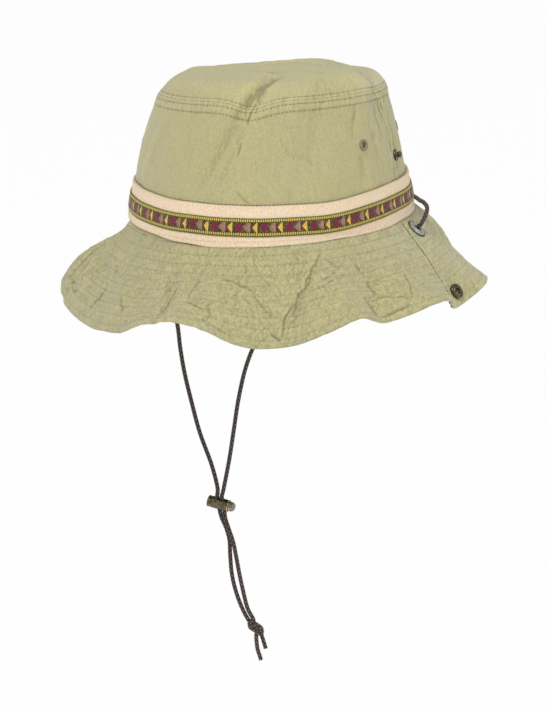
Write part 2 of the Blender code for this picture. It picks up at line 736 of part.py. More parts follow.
def curve_through(points, at):
    """A point on the smooth curve through hand-chosen points, at counting them from 0."""
    low = min(int(at), len(points) - 2)
    t = at - low
    a, b = points[max(low - 1, 0)], points[low]
    c, d = points[low + 1], points[min(low + 2, len(points) - 1)]
    squared, cubed = 2 * a - 5 * b + 4 * c - d, 3 * b - a - 3 * c + d
    return 0.5 * (2 * b + (c - a) * t + squared * t**2 + cubed * t**3)


def cord_points(points):
    """The smooth curve through the given points, closer where it bends, with its two ends straight."""
    count = CORD_FINENESS * (len(points) - 3)
    fine = [curve_through(points, 1 + i / CORD_FINENESS) for i in range(count + 1)]
    kept, travelled, turned = [points[0], fine[0]], 0.0, 0.0
    for before, here, after in zip(fine, fine[1:], fine[2:]):
        travelled += (here - before).length
        turned += math.degrees((here - before).angle(after - here))
        bent = turned > CORD_MOST_BEND and travelled > CORD_SHORTEST_STEP
        if travelled > CORD_LONGEST_STEP or bent:
            kept.append(here)
            travelled, turned = 0.0, 0.0
    return [*kept, fine[-1], points[-1]]


def make_cord(name, points, material, hat):
    curve = bpy.data.curves.new(name, "CURVE")
    curve.dimensions = "3D"
    curve.bevel_depth = CORD_RADIUS
    curve.bevel_resolution = 2
    curve.use_fill_caps = True
    spline = curve.splines.new("POLY")
    route = cord_points(points)
    spline.points.add(len(route) - 1)
    for spot, point in zip(spline.points, route):
        spot.co = (*point, 1.0)
    return add_object(name, curve, material, hat)


def lock_point(along, across=0.0):
    """A point in the lock's own frame: along its axis towards the button, and across it downwards."""
    tilt = math.radians(LOCK_TILT)
    axis = Vector((math.cos(tilt), 0.0, -math.sin(tilt)))
    down = Vector((-math.sin(tilt), 0.0, -math.cos(tilt)))
    return LOCK_CENTRE + axis * along + down * across


def make_chin_cord(materials, hat):
    """The back stretch and the two hanging strands, which meet in the grommets with a small gap."""
    braid = materials["cord_braid"]
    tops = {}
    normals = {}
    for side in ("left", "right"):
        point, normals[side] = grommet_place(side)
        tops[side] = point - normals[side] * 0.5 * (BRIM_CLOTH + GAP)
    leads = {side: [tops[side] + normals[side] * rise for rise in (GAP, GAP + CORD_LEAD)] for side in tops}
    round_crown = [head_point(*spot) for spot in CORD_BACK]
    make_cord("chin_cord_back", [*leads["right"], *round_crown, *reversed(leads["left"])], braid, hat)
    for side, to_right, strand, tail in (
        ("left", -STRAND_OFFSET, CORD_LEFT, TAIL_LEFT),
        ("right", STRAND_OFFSET, CORD_RIGHT, TAIL_RIGHT),
    ):
        hanging = [Vector((x, CORD_PLANE_Y, z)) for x, z in strand]
        middle = LOCK_CENTRE + Vector((to_right, 0.0, 0.0))
        through = [middle + Vector((-STRAND_LEAN * rise, 0.0, rise)) for rise in STRAND_RISES]
        lead = [tops[side], tops[side] - normals[side] * CORD_LEAD]
        make_cord(f"chin_cord_{side}", [*lead, *hanging, *through, *map(Vector, tail)], braid, hat)
    for side, free_end in (("left", END_LEFT), ("right", END_RIGHT)):
        make_cord(f"cord_end_{side}", [Vector(point) for point in free_end], braid, hat)


def make_knot(materials, hat):
    """The knot's outer form, a rounded lump that lies longer across the cord."""
    shape = bmesh.new()
    bmesh.ops.create_uvsphere(shape, u_segments=KNOT_SIDES, v_segments=KNOT_RINGS, radius=1.0)
    bmesh.ops.scale(shape, verts=shape.verts, vec=(KNOT_HALF_LENGTH, KNOT_HALF_WIDTH, KNOT_HALF_HEIGHT))
    mesh = bpy.data.meshes.new("cord_knot")
    shape.to_mesh(mesh)
    shape.free()
    mesh.shade_smooth()
    knot = add_object("cord_knot", mesh, materials["cord_braid"], hat)
    knot.location = KNOT_CENTRE
    knot.rotation_euler.y = math.radians(KNOT_TILT)


def make_cord_lock(materials, hat, cutters):
    """The barrel, open at its right end for the button, and a slot through both for the two strands."""
    axis = lock_point(1.0) - lock_point(0.0)
    down = lock_point(0.0, 1.0) - lock_point(0.0)
    barrel_profile = (
        (LOCK_BORE_RADIUS, LOCK_BARREL_RIGHT),
        (LOCK_BARREL_RADIUS - LOCK_RIM, LOCK_BARREL_RIGHT),
        (LOCK_BARREL_RADIUS, LOCK_BARREL_RIGHT - LOCK_RIM),
        (LOCK_BARREL_RADIUS, LOCK_BARREL_LEFT + LOCK_RIM),
        (LOCK_BARREL_RADIUS - LOCK_RIM, LOCK_BARREL_LEFT),
        (LOCK_END_HOLE_RADIUS, LOCK_BARREL_LEFT),
        (LOCK_END_HOLE_RADIUS, LOCK_BARREL_LEFT + LOCK_END_WALL),
        (LOCK_BORE_RADIUS, LOCK_BARREL_LEFT + LOCK_END_WALL),
    )
    barrel = turned_piece("cord_lock_barrel", barrel_profile, LOCK_SIDES, materials["antique_brass"], hat)
    button_profile = (*LOCK_BUTTON_DOME, (LOCK_BUTTON_RADIUS, LOCK_BUTTON_LEFT), (0.0, LOCK_BUTTON_LEFT))
    button = turned_piece("cord_lock_button", button_profile, LOCK_SIDES, materials["gunmetal"], hat)
    for piece in (barrel, button):
        seat(piece, LOCK_CENTRE, axis)
    turn = Matrix((axis, down.cross(axis), down)).transposed().to_4x4()
    for piece, travel in ((barrel, 0.0), (button, LOCK_TRAVEL)):
        half = LOCK_SLOT_HALF_LENGTHS[piece.name] + 0.5 * travel
        slot = add_cutter(f"cut_{piece.name}", LOCK_SLOT_HALF_WIDTH, LOCK_SLOT_DEPTH, cutters, half)
        slot.matrix_world = Matrix.Translation(lock_point(0.5 * travel)) @ turn
        cut(piece, slot)


def main():
    clear_scene()
    hat = make_collection(OBJECT_NAME)
    cutters = make_collection("Cutters")
    materials = {
        "cotton": make_material("Sage cotton", (0.44, 0.40, 0.22), 0.9),
        "webbing": make_material("Cream webbing", (0.80, 0.70, 0.56), 0.85),
        "ribbon": make_material("Jacquard ribbon", (0.26, 0.20, 0.07), 0.7),
        "eyelet_thread": make_material("Eyelet thread", (0.34, 0.30, 0.15), 0.8),
        "antique_brass": make_material("Antique brass", (0.20, 0.16, 0.10), 0.35, 1.0),
        "gunmetal": make_material("Gunmetal", (0.17, 0.17, 0.15), 0.35, 1.0),
        "pale_steel": make_material("Pale steel", (0.55, 0.56, 0.52), 0.3, 1.0),
        "cord_braid": make_material("Brown braid", (0.06, 0.035, 0.02), 0.75),
    }
    panels = make_crown(materials, hat)
    make_band(materials, hat)
    halves = make_brim(materials, hat)
    make_vent_eyelets(panels, materials, hat, cutters)
    make_snap_studs(panels, materials, hat, cutters)
    make_snap_sockets(halves, materials, hat, cutters)
    make_grommets(halves, materials, hat, cutters)
    make_chin_cord(materials, hat)
    make_cord_lock(materials, hat, cutters)
    make_knot(materials, hat)


main()
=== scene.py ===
"""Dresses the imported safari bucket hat: its cloth, stitching, band, fittings and chin cord.

Metres, +Z up, front at -Y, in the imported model's own frame. A place on the crown or the brim is
an azimuth, in degrees from the front towards +X, and a distance along the cloth from the seam
that joins the two, up the crown or out along the brim.
"""

import math
from collections import namedtuple

import bmesh
import bpy
import numpy as np
from bpy.props import FloatProperty, FloatVectorProperty, IntProperty, PointerProperty
from mathutils import Matrix, Vector, noise


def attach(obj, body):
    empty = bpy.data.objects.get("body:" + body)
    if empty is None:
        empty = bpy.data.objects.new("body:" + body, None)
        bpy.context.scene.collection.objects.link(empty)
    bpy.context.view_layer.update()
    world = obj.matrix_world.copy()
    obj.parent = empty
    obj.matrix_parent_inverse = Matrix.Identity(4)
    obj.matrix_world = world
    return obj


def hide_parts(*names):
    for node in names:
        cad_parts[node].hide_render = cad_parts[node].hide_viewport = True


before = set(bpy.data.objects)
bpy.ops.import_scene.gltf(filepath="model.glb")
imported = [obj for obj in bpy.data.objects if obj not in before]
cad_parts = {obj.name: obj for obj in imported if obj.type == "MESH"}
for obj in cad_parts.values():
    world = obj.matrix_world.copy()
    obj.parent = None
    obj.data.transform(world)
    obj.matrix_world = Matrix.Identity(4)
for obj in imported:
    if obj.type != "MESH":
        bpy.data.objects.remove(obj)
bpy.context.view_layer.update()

bl_info = {
    "name": "Safari Bucket Hat",
    "version": (1, 0, 0),
    "blender": (4, 5, 0),
    "location": "3D Viewport > Sidebar > Hat",
    "description": "Builds a safari bucket hat's cloth, stitching, band, fittings and chin cord",
    "category": "Add Mesh",
}

HAT_BODY = "hat"
BUTTON_BODY = "lock_button"
CLOTH_UV = "Cloth"
# One attribute holds the cloth's wear with its painted shade in creases and valleys, and the braid's flecks
WEAR_SHADE_AND_FLECK = "rub"

# Columns of the tables that hold degrees; all their others hold millimetres
DEGREES = ("azimuth", "azimuth_low", "azimuth_high", "turn", "root", "slope")


def table(columns, *rows):
    """Rows with named columns: angles in degrees, and lengths given in millimetres, turned into metres."""
    Row = namedtuple("Row", columns)
    angles = [name in DEGREES for name in Row._fields]
    return [Row(*(float(v) if turn else round(0.001 * v, 7) for turn, v in zip(angles, row))) for row in rows]


# Head opening, cloth and gaps
HEAD_HALF_WIDTH = 0.0845
HEAD_HALF_LENGTH = 0.0985
MEAN_RADIUS = 0.105
CROWN_CLOTH = 0.0015
BRIM_CLOTH = 0.0020
GAP = 0.0003
SEAM_GAPS = {"crown": 0.0001, "brim": 0.0002}
SHOULDER_GAP = 0.00004

# Steps to either side of a place, over which a surface's direction is taken
NORMAL_TURN = 1.0
NORMAL_STEP = 0.001
FITTING_TURN = 2.0
FITTING_STEP = 0.003

# Crown, from the brim seam up its sides, over the shoulder seam and in to the middle of the tip
CROWN_SECTIONS = table(
    "along height half_width half_length shift_x",
    (0, 0, 84.5, 98.5, 0),
    (23, 22.2, 80.8, 93.2, 0.6),
    (44, 42.5, 77.2, 87.2, 1.2),
    (62, 60, 72.8, 82.2, 2.4),
    (77.5, 75, 67.8, 77.4, 4.2),
    (85, 81.5, 63.4, 73.8, 5.2),
    (93, 85.6, 57, 67.6, 5.2),
    (104, 87, 46.2, 57, 4.8),
    (119, 86.4, 31.3, 41.2, 4.2),
    (135, 85.2, 15.4, 22.2, 3.6),
    (150, 84.6, 0.3, 0.4, 3.6),
)
TILT_START_HEIGHT = 0.0600
TIP_TILT = 0.0038
TIP_CENTRE_ALONG = 0.1498
TIP_RIDGES_FROM = 0.090
SHOULDER_ALONG = 0.0788
CROWN_SEAM_AZIMUTHS = (-92.0, 84.0)
CROWN_SEAM_TURNS = table("along turn", (0, 0), (30, 1), (55, 1), (78.8, -1.5))

# Folds: each runs from its low end to its high end, and lifts the cloth by its depth in the middle
FOLD = "azimuth_low along_low azimuth_high along_high half_width depth"
CROWN_FOLDS = table(
    FOLD,
    (-62, 22, -50, 105, 11, 1.4),
    (-81, 22, -76, 100, 8, -1),
    (-14, 24, 10, 93, 6, -2.2),
    (2, 68, 24, 116, 5.5, -3),
    (30, 24, 44, 95, 9, -1.2),
    (64, 45, 70, 120, 8.5, 2.2),
    (80, 55, 82, 110, 7, -1.8),
    (100, 40, 108, 128, 17, -1),
    (140, 24, 134, 122, 17, -3.2),
    (178, 24, 170, 110, 13, 1.8),
    (-132, 24, -142, 100, 11, -2.2),
    (-105, 50, -102, 110, 8, 1.6),
)
BRIM_FOLDS = table(
    FOLD,
    (-66, 2, -57, 62, 7, 4.2),
    (-80, 8, -71, 68, 7.5, -6),
    (30, 6, 22, 66, 4.2, -1.4),
    (-16, 10, -10, 70, 5, -2.4),
    (52, 20, 44, 66, 6, -2.2),
    (118, 8, 124, 64, 7, 2.4),
    (-120, 8, -126, 64, 7, -2.4),
    (170, 10, 176, 70, 7, -2.6),
)

# Brim: how steeply it leaves the joint, how far its edge hangs below level seen from the joint, and
# how far it stands off that line
BRIM_WIDTH = 0.0625
BRIM_WAVE_START = 0.7
BRIM_BELLY_SKEW = 1.8
BRIM_LEAN = 4.0
BRIM_SEAM_AZIMUTHS = (-88.0, 80.0)
BRIM_SEAM_TURNS = table("along turn", (0, 0.5), (62.5, -1))
BRIM_WAVES = table(
    "azimuth root slope belly",
    (-165, 47, 46, 1),
    (-148, 47, 53, 2),
    (-128, 48, 44, 2),
    (-112, 54, 40.5, 5.6),
    (-98, 59, 38, 6.2),
    (-86, 61, 38.5, 6.6),
    (-76, 58, 42, 4.4),
    (-66, 52, 45.5, 3),
    (-54, 48, 51, 2),
    (-42, 47, 53, 1),
    (-33, 47, 49.5, 1),
    (-25, 47, 46, 0),
    (-18, 47, 38, -1),
    (-11, 47, 31, -2),
    (-4, 47, 30, -2),
    (2, 47, 36, -1),
    (8, 47, 49.5, 1),
    (14, 47, 56, 2),
    (22, 47, 53.5, 1),
    (30, 47, 42, 0),
    (37, 47, 33.5, -1),
    (45, 47, 40.5, 0),
    (52, 47, 38, 0),
    (59, 47, 34, -1),
    (65, 47, 35.5, -1),
    (71, 47, 43.5, 0),
    (77, 46, 51.5, 1),
    (84, 44, 47.5, 1),
    (91, 44, 42.5, -0.3),
    (100, 46, 43.5, -0.9),
    (110, 46, 47.5, -1.2),
    (122, 26, 57, -2.6),
    (134, 36, 55, -1.2),
    (148, 46, 52, 1),
    (162, 47, 49, 2),
    (179, 47, 41, 0),
)

# Creases: each runs from its low end to its high end, bowed in its middle towards +X and wandering by its
# jag, all across its own line. It pinches the cloth in by its depth, or out where that is negative, and
# leaves the cloth on one side standing over the other by its step.
CREASE = "azimuth_low along_low azimuth_high along_high bow jag depth width step"
CREASE_REACH = 0.0035
CREASE_STEP = 0.0025
JAG_LENGTH = 2.2
CROWN_CREASES = table(
    CREASE,
    (8, 74, 32, 116, -3, 1, 2.2, 4.2, 0),
    (8, 74, -5, 30, 1, 1, 1, 3, 0),
    (8.4, 72, 7.4, 67, 0, 0.6, 1, 0.7, 0.3),
    (5, 58, 3.4, 50, 1, 0.8, 0.7, 0.9, 0.3),
    (9.4, 75, 11, 81, 0, 0.3, 1, 0.5, 0.3),
    (7.6, 70, 9, 77, 0, 0.3, 1, 0.5, 0.3),
    (10.6, 73, 12.2, 80, 0, 0.3, 0.8, 0.5, 0.3),
    (4, 31, 10, 23, 0, 0.5, 0.5, 0.8, 0.2),
    (-41, 76, -50, 26, 0, 1, -1.2, 4, 0),
    (67, 79, 76, 28, 0, 1, -1, 2.2, 0),
    (73, 76, 78, 48, 0, 1, 0.6, 1, 0.2),
    (60, 74, 57, 52, 0, 0.8, 0.7, 2, 0),
    (-40, 126, 64, 88, 8, 0, -1.3, 5, 0),
    (232, 124, 130, 116, 4, 1, -1.2, 1.7, 0),
    (222, 113, 148, 108, 2, 1, -0.9, 1.5, 0),
    (200, 102, 118, 101, 1, 1, -0.8, 1.4, 0),
    (96, 118, 74, 88, 2, 1, -0.8, 1.8, 0),
    (60, 44, 61, 26, 0, 0.5, 0.8, 3, 0),
)
BRIM_CREASES = table(
    CREASE,
    (36, 7, 22.6, 44, 0, 1.6, 0.9, 0.5, 0.8),
    (24, 38, 20, 58, -1, 1, 0.9, 0.5, 0.7),
    (36, 7, 22, 48, 1, 1, 0.6, 3, 0),
    (31, 23, 29, 29, 0, 0.3, 0.7, 0.6, 0.3),
    (33, 22, 43, 15, 0, 0.6, 0.4, 0.9, 0),
    (31, 29, 42, 20, 1, 0.6, 0.5, 1, 0),
    (29, 35, 42, 26, 0, 0.6, 0.5, 0.9, 0),
    (28, 40, 39, 35, 1, 0.6, 0.4, 1, 0),
    (2, 24, 13, 31, 2, 0.8, 1, 1.3, 0.4),
    (12, 31, 19, 48, 1, 1, 0.8, 1.4, 0.3),
    (-7, 43, 1, 49, 1, 0.5, 1, 1.2, 0.6),
    (17, 54, 20, 60, 0, 0.4, 0.9, 1, 0.5),
    (9, 7, 10, 21, 0, 0.5, 0.5, 1, 0),
    (-5, 21, -6, 41, 0, 1, 0.7, 1.4, 0),
    (0, 42, 1, 54, 2, 0.8, 0.9, 1.3, 0.3),
    (0, 55, 6, 60, 0, 0.5, 0.8, 1.4, 0.3),
    (36, 13, 40, 23, 1, 0.6, 0.6, 1, 0.3),
    (48, 9, 50, 15, 0, 0.4, 0.5, 1, 0),
    (46, 15, 48, 31, 1, 0.8, 0.7, 1.2, 0.2),
    (48, 32, 49, 43, 0, 0.8, 0.9, 1.2, 0.3),
    (45, 43, 47, 58, 0, 0.9, 1.3, 1.5, 0.5),
    (47, 59, 57, 57, 0, 0.5, 1.2, 1.4, 0.6),
    (49, 45, 57, 52, 1, 0.6, 0.8, 1.2, 0.3),
    (62, 35, 58, 53, 0, 0.6, 0.9, 0.9, 0.4),
    (57, 9, 57, 17, 0, 0.5, 0.5, 1, 0),
    (-13, 29, -13, 53, -1, 0.8, -1, 2, 0),
    (-11.5, 31, -11.5, 52, -1, 0.8, 0.9, 1, 0.2),
    (-46, 35, -50, 53, 3, 1, 1.3, 1.6, 0.5),
    (-63, 41, -60, 48, 3, 0.8, 1.1, 1.3, 0.5),
    (-70, 53, -57, 48, 1, 0.8, 1.2, 1.4, 0.6),
    (-82, 55, -66, 47, 1, 0.8, 1.2, 1.5, 0.5),
    (-47, 22, -45, 34, 1, 0.8, 0.8, 1.4, 0.3),
    (-33, 42, -29, 52, 1, 0.8, 0.8, 1.3, 0.3),
    (-86, 26, -79, 55, 1, 0.8, 2, 1.2, 1),
    (-77, 16, -73, 46, 0, 0.8, 1.6, 1.6, 0.5),
    (112, 18, 123, 56, 1, 1, 1.2, 1.6, 0.6),
    (140, 14, 142, 38, 1, 1, 1, 1.4, 0.5),
    (169, 20, 177, 58, 0, 1.2, 1.4, 1.5, 0.8),
    (-158, 12, -156, 37, -2, 1, 1, 1.4, 0.5),
    (-118, 16, -127, 58, 0, 1.2, 1.4, 1.5, 0.8),
)

# Shoulder seam, which sags into a pucker near the front, and its three rows of topstitching
SAG_AZIMUTH = 8.5
SAG_WIDTH = 10.0
SAG_DEPTH = 0.0036
SHOULDER_ROWS = (0.0804, 0.0768, 0.0730)
SHOULDER_WELT = 0.0005

# Rows of topstitching round the brim, and along the seams of the crown's sides
BRIM_ROW_STEP = 0.0064
BRIM_ROW_COUNT = 9
BRIM_EDGE_ROW = 0.0586
BRIM_ROWS = [BRIM_EDGE_ROW - BRIM_ROW_STEP * i for i in range(BRIM_ROW_COUNT)]
SIDE_SEAM_OFFSETS = (-0.0030, 0.0030)

# How wide a row of stitches, a sewn seam and the line where two panels meet sink into the cloth
ROW_WIDTH = 0.0007
SEAM_WIDTH = 0.0006
SEAM_LINE_WIDTH = 0.0005

# Wear and painted shade: how far the cloth stands out of its near and its wide surroundings where it is
# rubbed most, and sinks below them where its creases and valleys are painted darkest as shade
WEAR_SHADE_DEPTH = 0.00022
BROAD_SHADE_DEPTH = 0.0012

# Grids of the cloth: how far apart a panel's columns are on the front and at the back, and counts of points
PANEL_SPACING = {"crown": (0.0009, 0.0012), "brim": (0.00058, 0.00074)}
CROWN_PANEL_ROWS = 115
BRIM_PANEL_ROWS = 103
TIP_COLUMNS = 361
TIP_ROWS = 83
BAND_COLUMNS = 541

# The brim's rounded edge, and the cylinders that cut holes
BRIM_EDGE_BULGE = 0.0005
HOLE_DEPTH = 0.014
HOLE_SIDES = 32

# Band: cream webbing with a narrow ribbon along its middle, which both sway a little up and down. Each one's
# rows of points, how far its underside stands off the crown, and its thickness. At its lower edge the
# webbing's face and its underside fall a little, towards the brim.
WEBBING_BOTTOM = 0.0004
WEBBING_TOP = 0.0229
RIBBON_BOTTOM = 0.0052
RIBBON_TOP = 0.0158
Weave = namedtuple("Weave", "node slot bottom top rows off thickness")
WEAVES = {
    "webbing_weave": Weave("band_webbing", "cream_webbing", WEBBING_BOTTOM, WEBBING_TOP, 27, 0.0004, 0.0013),
    "ribbon_weave": Weave("band_ribbon", "jacquard_ribbon", RIBBON_BOTTOM, RIBBON_TOP, 17, 0.0018, 0.0007),
}
WEBBING_SEAMS = (WEBBING_BOTTOM + 0.0014, WEBBING_TOP - 0.0014)
RIBBON_SEAMS = (RIBBON_BOTTOM + 0.0008, RIBBON_TOP - 0.0008)
WEBBING_FALLS = (0.0021, 0.0008)
BAND_SWAYS = table(
    "azimuth rise",
    (-150, 0),
    (-115, 1.4),
    (-85, 3.4),
    (-60, 3.6),
    (-40, 2.4),
    (-20, 0.8),
    (-5, 0),
    (12, -1),
    (30, -1.8),
    (44, -2.6),
    (60, -0.8),
    (75, 0),
    (150, 0),
)
BAND_WANDER = 0.0005

# Ribbon's pattern: how far its first triangle starts from the front, and each shape's place in one repeat, as
# its start, how long its point and its block are, and half its height
RIBBON_SHIFT = 0.00275
RIBBON_REPEAT = 0.0147
RIBBON_YELLOW, RIBBON_BURGUNDY, RIBBON_TAUPE, RIBBON_NOTCH = table(
    "start point block half_height",
    (0, 2.6, 0.4, 3),
    (4.8, 1.7, 2, 2.9),
    (9.5, 2.4, 1.7, 2.8),
    (10.8, 2.8, 0, 2.4),
)
RIBBON_GROUND = 0.0033
RIBBON_BORDER = 0.0045
RIBBON_DOT = 0.0013

# Yarns: how far apart they stand in each weave
COTTON_THREAD = 0.00042
WEBBING_RIB = 0.00075
RIBBON_WARP = 0.00040
RIBBON_WEFT = 0.00046

# Sewing: points along a seam's run and a row's, the gap between stitches, and each thread
SEAM_POINTS = 101
ROW_POINTS = 1201
STITCH_GAP = 0.0006
STITCH_SIDES = 4
CROWN_THREAD = 0.00018
BRIM_THREAD = 0.00014
# The brim seams' ditch thread is thick and nearly unbroken, and paints the ditch's shade as well
SEAM_THREAD = 0.00026
SEAM_STITCH_GAP = 0.0002
WEBBING_THREAD = 0.00017
CREAM_THREAD = (0.80, 0.65, 0.49)

# Fittings: where each sits, and the sizes and the looks that its outline doesn't hold
EYELET_AZIMUTHS = {"front_left": -74.0, "front_right": 62.5, "back_left": -122.0, "back_right": 114.0}
EYELET_ALONG = 0.0495
EYELET_THREAD_RADIUS = 0.0018
EYELET_RADIUS = 0.0035
EYELET_THREADS = 34
EYELET_STEPS = 16
EYELET_RISE = 0.00062
EYELET_SWELL = 0.00009
STUD_AZIMUTHS = {"left": -96.0, "right": 87.0}
STUD_ALONG = 0.0375
STUD_CAP_TOP = -CROWN_CLOTH - 0.0006
SOCKET_AZIMUTHS = {"left": -104.0, "right": 83.2}
SOCKET_ALONG = 0.0546
SOCKET_UNDER = -BRIM_CLOTH - 0.0009
GROMMET_PLACES = {"left": (-100.0, 0.0125), "right": (86.5, 0.0105)}
GROMMET_BARREL_RADIUS = 0.0030
GROMMET_UNDER = -BRIM_CLOTH - 0.0004
# Colour of the dark ring round each grommet's flange, a painted shadow where the flange meets the cloth
RIM_SHADOW_COLOUR = (0.050, 0.048, 0.040)
RIM_BRASS = (0.55, 0.43, 0.20)

# Outlines of the turned fittings, as radii and heights
STUD = (
    (0.0, 0.0042), (0.0011, 0.0041), (0.0018, 0.0036), (0.0020, 0.0030), (0.0018, 0.0025), (0.0014, 0.0021),
    (0.0014, 0.0011), (0.0026, 0.0010), (0.0030, 0.0012), (0.0034, 0.0010), (0.0034, 0.0001),
    (0.0012, 0.0001), (0.0012, STUD_CAP_TOP), (0.0042, STUD_CAP_TOP), (0.0040, STUD_CAP_TOP - 0.0006),
    (0.0030, STUD_CAP_TOP - 0.0008), (0.0, STUD_CAP_TOP - 0.0009),
)
SOCKET = (
    (0.0, 0.0006), (0.0017, 0.0006), (0.0019, 0.0021), (0.0022, 0.0024), (0.0028, 0.0023), (0.0031, 0.0018),
    (0.0038, 0.0019), (0.0043, 0.0020), (0.0047, 0.0014), (0.0047, 0.0003), (0.0012, 0.0003),
    (0.0012, SOCKET_UNDER), (0.0047, SOCKET_UNDER), (0.0045, SOCKET_UNDER - 0.0006),
    (0.0034, SOCKET_UNDER - 0.0008), (0.0, SOCKET_UNDER - 0.0009),
)
GROMMET = (
    (0.0024, 0.0010), (0.0028, 0.0016), (0.0036, 0.0017), (0.0044, 0.0012), (0.0053, 0.0010),
    (0.0058, 0.0007), (0.0058, 0.0002), (0.0030, 0.0002), (0.0030, GROMMET_UNDER), (0.0056, GROMMET_UNDER),
    (0.0055, GROMMET_UNDER - 0.0006), (0.0040, GROMMET_UNDER - 0.0010),
    (0.0026, GROMMET_UNDER - 0.0009), (0.0024, GROMMET_UNDER - 0.0003),
)
# The dark ring round each grommet's flange, which paints its shadow
GROMMET_RIM = ((0.00585, 0.0002), (0.00585, 0.0008), (0.0062, 0.0007), (0.0064, 0.0003), (0.0064, 0.0001))
LOCK_BARREL = (
    (0.0034, 0.0053), (0.0035, 0.0055), (0.0037, 0.0054), (0.0037, 0.0046), (0.0035, 0.0043),
    (0.0035, 0.0039), (0.0037, 0.0036), (0.0037, -0.0060), (0.0035, -0.0063), (0.0035, -0.0071),
    (0.0037, -0.0074), (0.0036, -0.0082), (0.0030, -0.0086), (0.0016, -0.0084), (0.0016, -0.0074),
    (0.0033, -0.0074), (0.0033, 0.0048),
)
LOCK_BUTTON = (
    (0.0, 0.0096), (0.0012, 0.0095), (0.0021, 0.0091), (0.0028, 0.0083), (0.0031, 0.0073),
    (0.0031, -0.0051), (0.0, -0.0051),
)

# Chin cord's route: the plane in which its strands hang, and how far it leads straight out of a grommet. Then
# the curve's points between two of the route's, and how far apart they end up. Then the route's points: round
# the back as azimuth, distance out of the head opening and height, and down on either side as x and z.
CORD_PLANE_Y = -0.0080
CORD_LEAD = 0.0044
CORD_FINENESS = 24
CORD_SPACING = 0.00034
CORD_BACK = (
    (88.2, 0.0112, -0.0022), (90.2, 0.0120, 0.0012), (92.8, 0.0112, 0.0034),
    (95.8, 0.0088, 0.0046), (99.5, 0.0066, 0.0044), (105.0, 0.0050, 0.0030),
    (112.0, 0.0044, 0.0018), (124.0, 0.0042, 0.0006), (140.0, 0.0042, -0.0008),
    (160.0, 0.0042, -0.0018), (180.0, 0.0042, -0.0018), (200.0, 0.0042, -0.0018),
    (218.0, 0.0042, -0.0018), (232.0, 0.0046, -0.0016), (240.0, 0.0054, -0.0010),
    (246.5, 0.0072, 0.0000), (251.5, 0.0096, 0.0002), (255.5, 0.0118, -0.0012),
    (258.5, 0.0122, -0.0036),
)
STRANDS = {
    "left": (
        (-0.0800, -0.0265), (-0.0705, -0.0395), (-0.0640, -0.0560), (-0.0615, -0.0720),
        (-0.0605, -0.0860), (-0.0585, -0.1020), (-0.0550, -0.1200), (-0.0505, -0.1400),
        (-0.0440, -0.1600), (-0.0407, -0.1750),
    ),
    "right": (
        (0.0850, -0.0125), (0.0730, -0.0180), (0.0530, -0.0270), (0.0335, -0.0385),
        (0.0150, -0.0520), (-0.0010, -0.0665), (-0.0110, -0.0800), (-0.0185, -0.0970),
        (-0.0240, -0.1170), (-0.0280, -0.1370), (-0.0320, -0.1570), (-0.0368, -0.1770),
    ),
}

# Cord lock: its middle, how far its axis tilts from level, the slots through its two parts, and the way of
# the strands through them
LOCK_CENTRE = Vector((-0.0389, CORD_PLANE_Y, -0.1863))
LOCK_TILT = 12.9
LOCK_TRAVEL = 0.0022
LOCK_SIDES = 64
SLOT_HALF_WIDTH = 0.00158
SLOT_DEPTH = 0.020
SLOT_SIDES = 40
BARREL_SLOT = 0.0049
BUTTON_SLOT = 0.0043
LOCK_BARREL_MOUTH = (0.0037, 0.0051)
LOCK_BEAD = 0.00028
STRAND_OFFSET = 0.00150
STRAND_LEAN = 0.12
STRAND_RISES = (0.0052, 0.0, -0.0052)

# Strands below the lock, and their free ends below the knot
TAILS = {
    "left": (
        (-0.0388, -0.0076, -0.1960), (-0.0364, -0.0068, -0.2030), (-0.0348, -0.0066, -0.2110),
        (-0.0346, -0.0072, -0.2200), (-0.0338, -0.0080, -0.2330), (-0.0315, -0.0080, -0.2450),
        (-0.0278, -0.0080, -0.2560), (-0.0238, -0.0080, -0.2638),
    ),
    "right": (
        (-0.0361, -0.0086, -0.1960), (-0.0338, -0.0093, -0.2030), (-0.0315, -0.0093, -0.2110),
        (-0.0303, -0.0086, -0.2200), (-0.0290, -0.0080, -0.2310), (-0.0270, -0.0080, -0.2430),
        (-0.0245, -0.0080, -0.2550), (-0.0208, -0.0080, -0.2630),
    ),
}
ENDS = {
    "left": (
        (-0.0190, -0.0094, -0.2733), (-0.0188, -0.0097, -0.2780), (-0.0182, -0.0097, -0.2830),
        (-0.0166, -0.0092, -0.2892),
    ),
    "right": (
        (-0.0168, -0.0064, -0.2727), (-0.0160, -0.0060, -0.2755), (-0.0152, -0.0060, -0.2785),
        (-0.0140, -0.0062, -0.2825),
    ),
}

# Knot: its middle, its lean, its size, how far the two strands stand apart in it, and one strand's turns in
# the knot's own frame of right, up and towards the front
KNOT_CENTRE = Vector((-0.0195, CORD_PLANE_Y, -0.2682))
KNOT_LEAN = 22.0
KNOT_SCALE = 0.00112
KNOT_SHIFTS = {"left": -0.5, "right": 0.5}
KNOT_TURNS = (
    (-3.4, 2.2, 0.9), (-0.6, 2.5, 2.0), (2.4, 1.7, 1.5), (3.8, 0.1, 0.0), (2.4, -1.6, -1.5),
    (-1.0, -1.9, -1.8), (-3.7, -0.6, -0.4), (-3.2, 0.9, 1.5), (-0.4, 0.5, 2.5), (1.9, -0.7, 1.5),
    (1.7, -2.0, 0.2),
)

# Braid: how many sides and yarns each way it has, and how far along a yarn goes past one crossing
BRAID_SIDES = 18
BRAID_CARRIERS = 6
BRAID_PITCH = 0.0015

